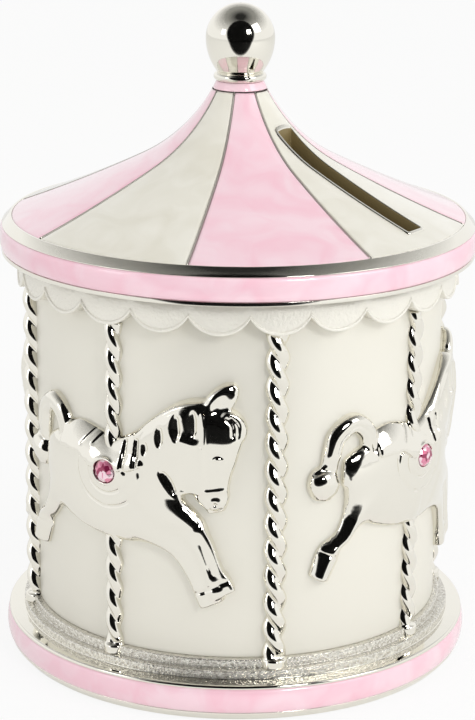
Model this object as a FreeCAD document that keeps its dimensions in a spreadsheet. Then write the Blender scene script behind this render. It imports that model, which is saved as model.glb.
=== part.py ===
"""Carousel money box with a wind-up music movement: a plated drum with relief horses under a tent roof.

The frame has +Z up, the origin at the centre of the foot, and +X through the coin slot.
Sizes are in millimetres.
"""

import FreeCAD
import Part
import Sketcher
import math
import os
from FreeCAD import Placement, Rotation, Vector

# Driving dimensions: one named value each, written to the sheet below.
SIZES = {
    # base casting and what is let into it
    "plinth_ledge": 1.4,
    "step_ledge": 1.8,
    "base_ledge": 3.5,
    "foot_inset": 1.5,
    "foot_height": 2.0,
    "band_height": 5.4,
    "band_crown": 0.45,
    "enamel_depth": 0.8,
    "bead_height": 0.8,
    "step_height": 1.9,
    "base_wall": 4.5,
    "plate_lip": 2.4,
    "plate_seat": 5.7,
    "recess_depth": 9.0,
    "plate_thickness": 1.2,
    # drum
    "drum_radius": 45.4,
    "drum_wall": 1.6,
    "drum_height": 79.2,
    "spigot_height": 3.0,
    "spigot_wall": 1.5,
    "fit_gap": 0.1,
    "seat_gap": 0.05,
    # valance
    "valance_rise": 3.7,
    "valance_height": 7.2,
    "scallop_depth": 3.6,
    "scallop_count": 24,
    # roof
    "rim_overhang": 7.1,
    "rim_lip": 0.9,
    "roof_band_height": 5.1,
    "rim_bevel": 1.9,
    "rim_border": 0.5,
    "roof_low_rise": 12.2,
    "roof_low_run": 28.1,
    "roof_low_radius": 297.0,
    "roof_top_rise": 15.5,
    "roof_top_radius": 6.0,
    "peak_ring_height": 1.7,
    "peak_ring_taper": 0.8,
    "roof_wall": 2.6,
    "panel_depth": 0.7,
    "panel_count": 8,
    "seam_angle": 0.7,
    "slot_middle": 28.4,
    "slot_length": 33.2,
    "slot_width": 5.0,
    "slot_border": 0.8,
    "slot_border_rise": 0.35,
    # finial
    "ball_radius": 7.55,
    "ball_rise": 9.3,
    "neck_radius": 5.0,
    "collar_radius": 5.8,
    "collar_height": 1.9,
    "stud_radius": 2.0,
    "stud_length": 12.0,
    "nut_width": 7.0,
    "nut_height": 3.2,
    # columns and poles
    "column_strand": 1.72,
    "column_offset": 0.9,
    "pole_strand": 1.4,
    "pole_offset": 0.72,
    "post_offset": 0.2,
    "twist_lead": 11.8,
    "column_foot": 2.95,
    "pole_foot": 2.5,
    "post_foot_height": 2.2,
    # horses and stones
    "saddle_radius": 8.4,
    "saddle_rise": 3.9,
    "saddle_step": 0.35,
    "stone_radius": 2.5,
    "stone_height": 1.2,
    "stone_rise": 0.7,
    "cup_wall": 0.55,
    # coin way
    "tray_mouth": 40.0,
    "tray_rise": 10.0,
    "tray_wall": 1.2,
    "tray_gap": 0.3,
    "chute_offset": 22.0,
    "outlet_radius": 14.5,
    "chute_wall": 1.2,
    "stopper_gap": 0.08,
    "stopper_flange": 1.8,
    "stopper_plug": 3.2,
    "stopper_lip": 2.0,
    "stopper_bar": 3.0,
    "tray_post_radius": 2.4,
    # music movement
    "arbor_x": -11.0,
    "arbor_y": 12.0,
    "arbor_radius": 1.6,
    "running_gap": 0.05,
    "bedplate_thickness": 2.0,
    "spring_cup_radius": 10.4,
    "spring_cup_height": 5.2,
    "spring_cup_wall": 0.8,
    "spring_turns": 7,
    "spring_strip": 0.3,
    "crown_module": 0.8,
    "crown_teeth": 24,
    "pinion_teeth": 10,
    "crown_face": 2.0,
    "cylinder_radius": 6.0,
    "cylinder_length": 18.0,
    "pin_height": 0.5,
    "note_count": 18,
    "wheel_module": 0.5,
    "wheel_teeth": 36,
    "fly_pinion_teeth": 9,
    "gear_width": 1.5,
    "fly_wheel_radius": 3.0,
    "worm_radius": 1.6,
    "fly_radius": 4.0,
    "fly_height": 6.0,
    "key_hub_radius": 3.0,
    "key_foot_gap": 1.4,
    "key_wing_radius": 3.4,
    "key_wing_centre": 6.2,
    "key_thickness": 1.8,
    "screw_radius": 1.2,
    "screw_head_radius": 2.4,
    "screw_head_height": 0.9,
}

doc = FreeCAD.newDocument("carousel")
sheet = doc.addObject("Spreadsheet::Sheet", "sizes")
for row, (alias, number) in enumerate(SIZES.items(), start=1):
    sheet.set(f"A{row}", alias)
    sheet.set(f"B{row}", str(number))
    sheet.setAlias(f"B{row}", alias)
doc.recompute()

PARTS = []


class Size:
    """A number that also carries the sheet expression which gives it."""

    def __init__(self, value, text):
        self.value = float(value)
        self.text = text

    def _with(self, other, sign, value):
        return Size(value, f"({self.text} {sign} {as_size(other).text})")

    def __add__(self, other):
        return self._with(other, "+", self.value + as_size(other).value)

    def __sub__(self, other):
        return self._with(other, "-", self.value - as_size(other).value)

    def __mul__(self, other):
        return self._with(other, "*", self.value * as_size(other).value)

    def __truediv__(self, other):
        return self._with(other, "/", self.value / as_size(other).value)

    def __neg__(self):
        return Size(-self.value, f"(-1 * {self.text})")

    def __float__(self):
        return self.value


def as_size(number):
    """A plain number as a Size, and a Size as it is."""
    return number if isinstance(number, Size) else Size(number, repr(float(number)))


def size(alias):
    """The driving dimension of that name."""
    return Size(sheet.get(alias), f"sizes.{alias}")


def keep(part):
    """Adds a finished sub-part to the list that is written out."""
    PARTS.append(part)
    return part


# Sketches and features


def origin_plane(body, role):
    """The body's own origin plane of that role."""
    return next(f for f in body.Origin.OriginFeatures if f.Role == role)


def arc_between(start, end, radius, side):
    """The arc from start to end whose centre lies to the left (side 1) or right (side -1) of the way."""
    middle = (start + end) * 0.5
    way = end - start
    half = way.Length / 2
    left = Vector(-way.y, way.x, 0).normalize()
    centre = middle + left * side * math.sqrt(radius**2 - half**2)
    first, last = (start, end) if side > 0 else (end, start)
    angles = [math.atan2(p.y - centre.y, p.x - centre.x) for p in (first, last)]
    circle = Part.Circle(centre, Vector(0, 0, 1), radius)
    return Part.ArcOfCircle(circle, angles[0], angles[1])


def outline(body, name, plane, points, arcs=None):
    """A closed sketch through the points, each tied to the sheet; arcs maps a side to (radius, side)."""
    arcs = arcs or {}
    sketch = body.newObject("Sketcher::SketchObject", name)
    sketch.AttachmentSupport = [(origin_plane(body, plane), "")]
    sketch.MapMode = "FlatFace"
    points = [(as_size(x), as_size(y)) for x, y in points]
    corners = [Vector(x.value, y.value, 0) for x, y in points]
    ends = []
    for i, start in enumerate(corners):
        end = corners[(i + 1) % len(corners)]
        if i in arcs:
            radius, side = arcs[i]
            geo = sketch.addGeometry(arc_between(start, end, float(radius), side))
            ends.append((geo, 1, 2) if side > 0 else (geo, 2, 1))
        else:
            geo = sketch.addGeometry(Part.LineSegment(start, end))
            ends.append((geo, 1, 2))
    for i, (geo, _, last) in enumerate(ends):
        after, first, _ = ends[(i + 1) % len(ends)]
        sketch.addConstraint(Sketcher.Constraint("Coincident", geo, last, after, first))
    for (x, y), (geo, first, _) in zip(points, ends):
        for kind, value, axis in (("DistanceX", x, -2), ("DistanceY", y, -1)):
            if abs(value.value) < 1e-9:
                sketch.addConstraint(Sketcher.Constraint("PointOnObject", geo, first, axis))
                continue
            made = sketch.addConstraint(Sketcher.Constraint(kind, -1, 1, geo, first, value.value))
            sketch.setExpression(f"Constraints[{made}]", value.text)
    for i, (radius, _) in arcs.items():
        made = sketch.addConstraint(Sketcher.Constraint("Radius", ends[i][0], float(radius)))
        sketch.setExpression(f"Constraints[{made}]", as_size(radius).text)
    doc.recompute()
    return sketch


def new_body(label):
    """An empty body of that name."""
    return doc.addObject("PartDesign::Body", label)


def turned(label, points, arcs=None, angle=360.0):
    """A body turned about Z from a profile of (radius, height) points."""
    body = new_body(label)
    sketch = outline(body, f"{label}_profile", "XZ_Plane", points, arcs)
    turn = body.newObject("PartDesign::Revolution", f"{label}_turn")
    turn.Profile = sketch
    turn.ReferenceAxis = (sketch, ["V_Axis"])
    turn.Angle = angle
    turn.Midplane = angle < 360.0
    doc.recompute()
    return body


def cut_through(body, name, points, arcs=None, plane="XY_Plane", both_ways=True):
    """A pocket right through the body, with its outline on one of the body's origin planes."""
    before = body.Shape.Volume
    sketch = outline(body, f"{name}_outline", plane, points, arcs)
    pocket = body.newObject("PartDesign::Pocket", name)
    pocket.Profile = sketch
    pocket.Type = "ThroughAll"
    pocket.Midplane = both_ways
    doc.recompute()
    if body.Shape.Volume >= before - 1e-6:
        pocket.Reversed = True
        doc.recompute()
    if body.Shape.Volume >= before - 1e-6:
        raise RuntimeError(f"{name} cuts nothing")
    return pocket


def ring_of(body, feature, name, count):
    """The feature repeated round Z."""
    pattern = body.newObject("PartDesign::PolarPattern", name)
    pattern.Originals = [feature]
    pattern.Axis = (next(f for f in body.Origin.OriginFeatures if f.Role == "Z_Axis"), [""])
    pattern.Angle = 360
    pattern.setExpression("Occurrences", count.text)
    body.Tip = pattern
    doc.recompute()
    return pattern


def drilled(body, name, centres, radius):
    """Round holes right through along Z, as one pocket."""
    before = body.Shape.Volume
    sketch = body.newObject("Sketcher::SketchObject", f"{name}_outline")
    sketch.AttachmentSupport = [(origin_plane(body, "XY_Plane"), "")]
    sketch.MapMode = "FlatFace"
    for x, y in centres:
        x, y = as_size(x), as_size(y)
        geo = sketch.addGeometry(Part.Circle(Vector(x.value, y.value, 0), Vector(0, 0, 1), radius.value))
        for kind, value, axis in (("DistanceX", x, -2), ("DistanceY", y, -1)):
            if abs(value.value) < 1e-9:
                sketch.addConstraint(Sketcher.Constraint("PointOnObject", geo, 3, axis))
                continue
            made = sketch.addConstraint(Sketcher.Constraint(kind, -1, 1, geo, 3, value.value))
            sketch.setExpression(f"Constraints[{made}]", value.text)
        made = sketch.addConstraint(Sketcher.Constraint("Radius", geo, radius.value))
        sketch.setExpression(f"Constraints[{made}]", radius.text)
    pocket = body.newObject("PartDesign::Pocket", name)
    pocket.Profile = sketch
    pocket.Type = "ThroughAll"
    pocket.Midplane = True
    doc.recompute()
    if body.Shape.Volume >= before - 1e-6:
        raise RuntimeError(f"{name} cuts nothing")
    return pocket


def box(name, low, high):
    """A box between two corners, each coordinate tied to the sheet."""
    low, high = [as_size(v) for v in low], [as_size(v) for v in high]
    made = doc.addObject("Part::Box", name)
    for prop, a, b in zip(("Length", "Width", "Height"), low, high):
        made.setExpression(prop, (b - a).text)
    for axis, a in zip("xyz", low):
        made.setExpression(f"Placement.Base.{axis}", a.text)
    doc.recompute()
    return made


def rod(name, centre, radius, length, axis="z"):
    """A cylinder from centre along an axis, tied to the sheet."""
    made = doc.addObject("Part::Cylinder", name)
    turn = {"z": Rotation(), "x": Rotation(Vector(0, 1, 0), 90), "y": Rotation(Vector(1, 0, 0), -90)}[axis]
    made.Placement = Placement(Vector(), turn)
    made.setExpression("Radius", as_size(radius).text)
    made.setExpression("Height", as_size(length).text)
    for letter, value in zip("xyz", centre):
        made.setExpression(f"Placement.Base.{letter}", as_size(value).text)
    doc.recompute()
    return made


def joined(name, *pieces):
    """The pieces as one solid."""
    made = doc.addObject("Part::MultiFuse", name)
    made.Shapes = list(pieces)
    made.Refine = True
    doc.recompute()
    return made


def less(name, piece, *tools):
    """The piece with the tools cut out of it."""
    for i, tool in enumerate(tools, start=1):
        made = doc.addObject("Part::Cut", name if i == len(tools) else f"{name}_cut_{i}")
        made.Base, made.Tool = piece, tool
        doc.recompute()
        piece = made
    return piece


def shared(name, piece, other):
    """What two pieces have in common."""
    made = doc.addObject("Part::Common", name)
    made.Base, made.Tool = piece, other
    doc.recompute()
    return made


def shaped(label, shape):
    """A sub-part with a shape of its own."""
    made = doc.addObject("Part::Feature", label)
    made.Shape = shape
    return made


# Radii and levels that several pieces share

step_two_radius = size("drum_radius") + size("plinth_ledge")
step_one_radius = step_two_radius + size("step_ledge")
base_radius = step_one_radius + size("base_ledge")
foot_radius = base_radius - size("foot_inset")
recess_radius = base_radius - size("base_wall")
plate_radius = recess_radius - size("plate_lip")
deck_hole_radius = plate_radius - size("plate_seat")
valance_radius = size("drum_radius") + size("valance_rise")
rim_radius = size("drum_radius") + size("rim_overhang")
post_circle = size("drum_radius") + size("post_offset")
band_low = size("foot_height")
band_high = band_low + size("band_height")
deck = band_high + size("bead_height")
drum_low = deck + size("step_height") * 2
drum_high = drum_low + size("drum_height")
plate_low = size("recess_depth")
plate_high = plate_low + size("plate_thickness")
spigot_radius = size("drum_radius") - size("drum_wall") - size("fit_gap")
crown_radius = (size("band_height") * size("band_height") / 4 + size("band_crown") * size("band_crown")) / (
    size("band_crown") * 2
)


def base_pieces():
    """The stepped base casting, its enamel band and the plate that closes it."""
    foot, rim = foot_radius, base_radius
    groove = rim - size("enamel_depth")
    bead = size("bead_height")
    step = deck + size("step_height")
    spigot_inner = spigot_radius - size("spigot_wall")
    points = [
        (recess_radius, 0),
        (foot, 0),
        (groove, band_low),
        (groove, band_high),
        (rim, band_high),
        (rim - bead, deck),
        (step_one_radius, deck),
        (step_one_radius, step),
        (step_two_radius, step),
        (step_two_radius, drum_low),
        (spigot_radius, drum_low),
        (spigot_radius, drum_low + size("spigot_height")),
        (spigot_inner, drum_low + size("spigot_height")),
        (spigot_inner, drum_low),
        (deck_hole_radius, drum_low),
        (deck_hole_radius, plate_high),
        (plate_radius + size("fit_gap"), plate_high),
        (plate_radius + size("fit_gap"), plate_low),
        (recess_radius, plate_low),
    ]
    arcs = {1: (size("foot_height") * 1.3, 1), 4: (bead, 1)}
    keep(tapped(turned("base_turning", points, arcs)))
    band = [(groove, band_low), (rim, band_low), (rim, band_high), (groove, band_high)]
    keep(turned("base_enamel_band", band, {1: (crown_radius, 1)}))


def drum_pieces():
    """The plain drum and the scalloped valance under the roof."""
    outer = size("drum_radius")
    inner = outer - size("drum_wall")
    keep(turned("drum", [(inner, drum_low), (outer, drum_low), (outer, drum_high), (inner, drum_high)]))

    wide = valance_radius
    tip = drum_high - size("valance_height")
    cusp = tip + size("scallop_depth")
    seat = outer + size("seat_gap")
    body = turned("valance", [(seat, tip), (wide, tip), (wide, drum_high), (seat, drum_high)])
    half_chord = wide * math.tan(math.pi / SIZES["scallop_count"])
    depth = size("scallop_depth")
    radius = (half_chord * half_chord + depth * depth) / (depth * 2)
    below = tip - depth
    notch = [(-half_chord, below), (half_chord, below), (half_chord, cusp), (-half_chord, cusp)]
    pocket = cut_through(body, "valance_notch", notch, {2: (radius, -1)}, plane="XZ_Plane", both_ways=False)
    ring_of(body, pocket, "valance_scallops", size("scallop_count"))
    keep(body)


def root(number):
    """The square root of a size, tied to the sheet."""
    return Size(math.sqrt(number.value), f"sqrt({number.text})")


# Roof

rim_low = drum_high + size("rim_lip")
rim_high = rim_low + size("roof_band_height")
eave = rim_high + size("rim_bevel")
eave_radius = rim_radius - size("rim_bevel") - size("rim_border")
knee = (eave_radius - size("roof_low_run"), eave + size("roof_low_rise"))
peak = (size("roof_top_radius"), knee[1] + size("roof_top_rise"))


def upper_roof_radius():
    """The radius of the upper roof arc that leaves the lower one without a corner."""
    run, rise, low = size("roof_low_run"), size("roof_low_rise"), size("roof_low_radius")
    chord = root(run * run + rise * rise)
    reach = root(low * low - chord * chord / 4) / chord
    inward, upward = knee[0] - peak[0], size("roof_top_rise")
    lean = upward * (run * reach - rise / 2) - inward * (rise * reach + run / 2)
    return (inward * inward + upward * upward) * low / (lean * 2)


def roof_band(lift, drop):
    """A profile that follows the roof from the eave to the peak, from lift above it to drop below it."""
    steep = upper_roof_radius()
    points = [
        (eave_radius, eave - drop),
        (eave_radius, eave + lift),
        (knee[0], knee[1] + lift),
        (peak[0], peak[1] + lift),
        (peak[0], peak[1] - drop),
        (knee[0], knee[1] - drop),
    ]
    low = size("roof_low_radius")
    return points, {1: (low, -1), 2: (steep, -1), 4: (steep, 1), 5: (low, 1)}


def sector(label, lift, drop):
    """One of the roof's equal panels as a turned body, centred on +X."""
    body = turned(label, *roof_band(lift, drop), angle=180.0)
    turn = body.Tip
    turn.setExpression("Angle", f"360 / {size('panel_count').text} - {size('seam_angle').text}")
    doc.recompute()
    return body


def slot_box(name, margin, low, high):
    """A box as long and wide as the coin slot with a margin all round."""
    half = size("slot_width") / 2 + margin
    reach = size("slot_length") / 2 + margin
    start = size("slot_middle") - reach
    end = size("slot_middle") + reach
    return box(name, (start, -half, low), (end, half, high))


def roof_pieces():
    """The roof shell, its enamel panels, the enamel rim band and the frame of the coin slot."""
    rim, wall = rim_radius, size("roof_wall")
    groove = rim - size("enamel_depth")
    spigot_inner = spigot_radius - size("spigot_wall")
    spigot_low = drum_high - size("spigot_height")
    bore = size("stud_radius") + size("seat_gap")
    nut_seat = peak[1] - size("roof_wall") * 3
    nut_room = size("nut_width") * 0.62 + size("seat_gap")
    low, steep = size("roof_low_radius"), upper_roof_radius()
    points = [
        (spigot_inner, spigot_low),
        (spigot_radius, spigot_low),
        (spigot_radius, drum_high),
        (rim, drum_high),
        (rim, rim_low),
        (groove, rim_low),
        (groove, rim_high),
        (rim, rim_high),
        (rim - size("rim_bevel"), eave),
        (eave_radius, eave),
        knee,
        peak,
        (bore, peak[1]),
        (bore, nut_seat),
        (nut_room, nut_seat),
        (nut_room, nut_seat - wall),
        (knee[0], knee[1] - wall),
        (spigot_inner, rim_high - wall / 2),
    ]
    arcs = {9: (low, -1), 10: (steep, -1), 15: (steep, 1), 16: (low, 1)}
    body = turned("roof_turning", points, arcs)
    before = body.Shape.Volume
    sketch = outline(body, "panel_groove_profile", "XZ_Plane", *roof_band(as_size(0), size("panel_depth")))
    groove_cut = body.newObject("PartDesign::Groove", "panel_groove")
    groove_cut.Profile = sketch
    groove_cut.ReferenceAxis = (sketch, ["V_Axis"])
    groove_cut.Midplane = True
    groove_cut.setExpression("Angle", f"360 / {size('panel_count').text} - {size('seam_angle').text}")
    doc.recompute()
    ring_of(body, groove_cut, "panel_grooves", size("panel_count"))
    if body.Shape.Volume >= before:
        raise RuntimeError("the panel grooves cut nothing")
    slot_floor = rim_low + size("roof_band_height") / 2
    frame = size("slot_border")
    keep(less("roof_shell", body, slot_box("roof_slot", frame, slot_floor, peak[1])))

    for i in range(SIZES["panel_count"]):
        name = f"roof_panel_{i + 1}"
        if i == 0:
            blank = sector("slot_panel_blank", as_size(0), size("panel_depth"))
            keep(less(name, blank, slot_box("panel_slot", frame, slot_floor, peak[1])))
        else:
            panel = sector(name, as_size(0), size("panel_depth"))
            panel.Placement = Placement(Vector(), Rotation(Vector(0, 0, 1), 360.0 * i / SIZES["panel_count"]))
            keep(panel)

    band = [(groove, rim_low), (rim, rim_low), (rim, rim_high), (groove, rim_high)]
    height, crown = size("roof_band_height"), size("band_crown")
    bulge = (height * height / 4 + crown * crown) / (crown * 2)
    keep(turned("roof_enamel_band", band, {1: (bulge, 1)}))

    skin = turned("slot_frame_skin", *roof_band(size("slot_border_rise"), wall), angle=120.0)
    outer = slot_box("slot_frame_outer", frame, slot_floor, peak[1] + wall)
    inner = slot_box("slot_frame_inner", as_size(0), slot_floor - wall, peak[1] + wall * 2)
    keep(shared("slot_frame", skin, less("slot_frame_tube", outer, inner)))


def finial_pieces():
    """The enamel ring on the peak, the finial, the stud that holds it and the nut under the roof."""
    low = peak[1] + size("peak_ring_height")
    collar, tall = size("collar_radius"), size("collar_height")
    neck, ball = size("neck_radius"), size("ball_radius")
    waist = low + size("ball_rise")
    bore = size("stud_radius") + size("seat_gap")
    stud_top = low + size("stud_length") / 2
    ring = [(bore, peak[1]), peak, (peak[0] - size("peak_ring_taper"), low), (bore, low)]
    keep(turned("peak_ring", ring))
    drop = waist - low - tall
    swell = ball - neck
    points = [
        (bore, low),
        (collar - tall / 2, low),
        (collar - tall / 2, low + tall),
        (neck, low + tall),
        (ball, waist),
        (0, waist + ball),
        (0, stud_top + size("fit_gap")),
        (bore, stud_top + size("fit_gap")),
    ]
    pear = (drop * drop + swell * swell) / (swell * 2)
    arcs = {1: (tall / 2 + size("seat_gap"), 1), 3: (pear, 1), 4: (ball, 1)}
    keep(turned("finial", points, arcs))
    nut_seat = peak[1] - size("roof_wall") * 3
    stud_low = nut_seat - size("nut_height") * 1.4
    rod("finial_stud", (0, 0, stud_low), size("stud_radius"), stud_top - stud_low)
    keep(doc.getObject("finial_stud"))
    prism = doc.addObject("Part::Prism", "nut_blank")
    prism.Polygon = 6
    prism.setExpression("Circumradius", (size("nut_width") / 2 * (2 / math.sqrt(3))).text)
    prism.setExpression("Height", size("nut_height").text)
    prism.setExpression("Placement.Base.z", (nut_seat - size("nut_height")).text)
    bore_tool = rod("nut_bore", (0, 0, stud_low), bore, stud_top - stud_low)
    keep(less("finial_nut", prism, bore_tool))


# Columns, poles, horses and stones


def twisted_post(strand, offset, foot):
    """A rope-twist post of two strands with a foot collar, standing on the lower step against the drum."""
    low = (deck + size("step_height")).value
    high = (drum_high - size("valance_height") - size("seat_gap")).value
    waist = math.sqrt(strand**2 - offset**2)
    right = Part.Arc(Vector(0, -waist, 0), Vector(offset + strand, 0, 0), Vector(0, waist, 0))
    left = Part.Arc(Vector(0, waist, 0), Vector(-offset - strand, 0, 0), Vector(0, -waist, 0))
    section = Part.Wire([right.toShape(), left.toShape()])
    spine = Part.Wire([Part.makeLine(Vector(0, 0, 0), Vector(0, 0, high - low))])
    helix = Part.makeHelix(sheet.get("twist_lead"), high - low, 2 * strand, 0, True)
    sweep = Part.BRepOffsetAPI.MakePipeShell(spine)
    sweep.setAuxiliarySpine(Part.Wire(helix.Edges), True, 0)
    sweep.add(section)
    sweep.build()
    sweep.makeSolid()
    place = Vector(post_circle.value, 0, low)
    rope = sweep.shape()
    rope.translate(place)
    tall = sheet.get("post_foot_height")
    collar = Part.makeCylinder(foot, tall * 0.7, place)
    taper = Part.makeCone(foot, foot - tall * 0.3, tall * 0.3, place + Vector(0, 0, tall * 0.7))
    return rope.fuse(collar.fuse(taper))


def seated(shape):
    """The shape without what the drum and the upper step take up."""
    gap = sheet.get("seat_gap")
    top = (drum_high + 10).value
    shape = shape.cut(Part.makeCylinder(sheet.get("drum_radius") + gap, top))
    return shape.cut(Part.makeCylinder(step_two_radius.value + gap, drum_low.value))


def on_drum(along, height, depth):
    """The point at that arc length along the drum, height, and depth out from its surface."""
    radius = sheet.get("drum_radius")
    angle = along / radius
    return Vector((radius + depth) * math.cos(angle), (radius + depth) * math.sin(angle), height)


def limb(stations):
    """A loft through ellipses set square to a path.

    A station is (along, height, depth, half width, half depth).
    """
    radius = sheet.get("drum_radius")
    wires = []
    for i, (along, height, depth, wide, deep) in enumerate(stations):
        before, after = stations[max(i - 1, 0)], stations[min(i + 1, len(stations) - 1)]
        way = Vector(after[0] - before[0], after[1] - before[1], 0).normalize()
        angle = along / radius
        outward = Vector(math.cos(angle), math.sin(angle), 0)
        across = Vector(math.sin(angle) * way.y, -math.cos(angle) * way.y, way.x)
        centre = on_drum(along, height, depth)
        turns = [math.pi * k / 4 for k in range(8)]
        curve = Part.BSplineCurve()
        ring = [centre + across * (wide * math.cos(t)) + outward * (deep * math.sin(t)) for t in turns]
        curve.interpolate(ring, PeriodicFlag=True)
        wires.append(Part.Wire([curve.toShape()]))
    return Part.makeLoft(wires, True, False)


# One horse in relief, as paths over the drum measured from its pole.
HORSE = {
    "trunk": [
        (-19.0, 51.0, 0.3, 4.4, 1.8),
        (-16.5, 50.3, 0.3, 7.6, 2.6),
        (-10.5, 48.6, 0.3, 10.0, 3.1),
        (-1.5, 47.2, 0.3, 10.8, 3.2),
        (7.0, 46.9, 0.3, 10.2, 3.1),
        (12.5, 47.6, 0.3, 7.8, 2.6),
        (15.5, 48.2, 0.3, 4.0, 1.8),
    ],
    "neck": [
        (5.0, 48.5, 0.3, 7.8, 2.8),
        (9.5, 55.0, 0.3, 7.0, 2.9),
        (14.0, 61.0, 0.4, 5.8, 2.9),
        (18.8, 65.0, 0.4, 4.8, 2.9),
        (23.5, 66.0, 0.4, 3.4, 2.8),
    ],
    "head": [
        (24.6, 67.6, 0.4, 2.2, 2.2),
        (24.2, 64.2, 0.4, 4.8, 3.1),
        (22.8, 59.0, 0.4, 5.2, 3.3),
        (21.8, 54.6, 0.4, 5.0, 3.2),
        (22.0, 50.6, 0.4, 4.2, 3.0),
        (22.9, 47.6, 0.4, 3.3, 2.8),
        (23.4, 45.0, 0.4, 1.8, 2.0),
    ],
    "ear": [
        (21.4, 66.2, 0.5, 2.0, 2.3),
        (23.6, 69.0, 0.6, 2.8, 2.4),
        (25.8, 71.4, 0.6, 2.3, 2.0),
        (27.2, 72.9, 0.6, 1.0, 1.0),
    ],
    "near_foreleg": [
        (9.5, 46.5, 0.3, 4.4, 2.8),
        (14.5, 44.6, 0.3, 3.6, 2.7),
        (18.4, 41.8, 0.3, 2.8, 2.6),
        (20.9, 37.6, 0.3, 2.0, 2.5),
        (23.0, 32.2, 0.3, 1.7, 2.4),
        (24.2, 29.6, 0.3, 2.3, 2.6),
        (25.2, 27.2, 0.3, 2.5, 2.7),
    ],
    "far_foreleg": [
        (8.0, 43.0, 0.2, 4.0, 2.4),
        (12.6, 39.8, 0.2, 3.4, 2.2),
        (16.6, 36.0, 0.2, 2.6, 2.1),
        (19.4, 31.0, 0.2, 2.2, 2.0),
        (21.3, 27.8, 0.2, 2.8, 2.2),
        (22.8, 24.6, 0.2, 3.0, 2.3),
    ],
    "hind_leg": [
        (-12.0, 48.4, 0.3, 6.4, 2.9),
        (-16.2, 44.2, 0.3, 4.0, 2.8),
        (-18.4, 41.0, 0.3, 2.6, 2.6),
        (-20.4, 37.9, 0.3, 2.1, 2.5),
        (-22.4, 36.2, 0.3, 2.1, 2.4),
        (-24.0, 34.2, 0.3, 2.9, 2.6),
        (-26.2, 28.9, 0.3, 2.5, 2.6),
    ],
    "tail": [
        (-13.6, 54.5, 0.2, 2.0, 1.9),
        (-15.0, 60.2, 0.2, 2.2, 2.2),
        (-18.6, 62.6, 0.2, 2.3, 2.3),
        (-22.4, 60.4, 0.2, 2.3, 2.3),
        (-23.6, 56.6, 0.2, 2.2, 2.2),
        (-24.2, 53.2, 0.2, 2.4, 2.3),
        (-25.4, 49.8, 0.2, 3.3, 2.5),
        (-25.8, 46.8, 0.2, 2.0, 1.5),
    ],
    "seat": [
        (7.0, 60.2, 0.3, 0.7, 1.9),
        (4.0, 58.2, 0.3, 1.5, 3.2),
        (-1.0, 57.4, 0.3, 1.7, 3.6),
        (-5.6, 58.0, 0.3, 1.5, 3.2),
        (-8.6, 60.0, 0.3, 0.7, 1.9),
    ],
}
# Locks of the mane, from the crest of the neck down to their tips.
MANE_LOCKS = [
    ((6.0, 60.2), (6.8, 57.0)),
    ((9.0, 63.4), (10.0, 58.0)),
    ((12.5, 66.4), (13.5, 60.0)),
    ((16.0, 68.0), (17.0, 61.2)),
    ((19.4, 68.6), (20.4, 62.0)),
]
STONE_AT = (0.0, 52.0)


def radial_rod(radius, low, high):
    """A round rod square to the drum at the saddle, between two depths."""
    foot, tip = on_drum(*STONE_AT, low), on_drum(*STONE_AT, high)
    return Part.makeCylinder(radius, (tip - foot).Length, foot, tip - foot)


def horse_shape():
    """The horse with its saddle flap, stone cup and the channel its pole runs in."""
    pieces = [limb(stations) for stations in HORSE.values()]
    for (along, high), (foot, low) in MANE_LOCKS:
        lean, fall = foot - along, low - high
        lock = [
            (along, high, 0.3, 0.6, 2.0),
            (along + 0.3 * lean, high + 0.3 * fall, 0.3, 1.5, 3.2),
            (along + 0.7 * lean, high + 0.7 * fall, 0.3, 1.4, 3.2),
            (foot, low, 0.3, 0.5, 2.0),
        ]
        pieces.append(limb(lock))
    rise, stone, wall = sheet.get("saddle_rise"), sheet.get("stone_radius"), sheet.get("cup_wall")
    flap, step = sheet.get("saddle_radius"), sheet.get("saddle_step")
    pieces.append(radial_rod(flap, 0.0, rise - step))
    pieces.append(radial_rod((flap + stone) / 2, 0.0, rise))
    pieces.append(radial_rod(stone + wall, 0.0, rise + wall))
    whole = pieces[0]
    for piece in pieces[1:]:
        whole = whole.fuse(piece)
    gap = sheet.get("seat_gap")
    whole = whole.cut(radial_rod(stone + gap, rise - sheet.get("stone_rise"), rise + stone))
    reach = sheet.get("pole_strand") + sheet.get("pole_offset") + gap
    channel = Part.makeCylinder(reach, drum_high.value, Vector(post_circle.value, 0, 0))
    return seated(whole.cut(channel))


def stone_shape():
    """A brilliant-cut stone: an eight-sided table over a sixteen-sided girdle."""
    radius, tall = sheet.get("stone_radius"), sheet.get("stone_height")
    foot = sheet.get("saddle_rise") - sheet.get("stone_rise")
    girdle = foot + sheet.get("stone_rise")
    base = on_drum(*STONE_AT, foot)
    outward = (on_drum(*STONE_AT, foot + 1) - base).normalize()
    side = Vector(-outward.y, outward.x, 0)
    crown = [(girdle + tall * 0.45, radius * 0.86), (girdle + tall, radius * 0.52)]
    levels = [(foot, radius), (girdle, radius), *crown]
    wires = []
    for depth, reach in levels:
        centre = on_drum(*STONE_AT, depth)
        turns = [2 * math.pi * k / 16 for k in range(17)]
        ring = [centre + side * (reach * math.cos(t)) + Vector(0, 0, reach * math.sin(t)) for t in turns]
        wires.append(Part.makePolygon(ring))
    return Part.makeLoft(wires, True, True)


def ring_copies(stem, shape, first):
    """Four copies of a shape round Z, the first of them turned by that many degrees."""
    for i in range(4):
        piece = shaped(f"{stem}_{i + 1}", shape)
        piece.Placement = Placement(Vector(), Rotation(Vector(0, 0, 1), first + 90 * i))
        keep(piece)


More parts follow.
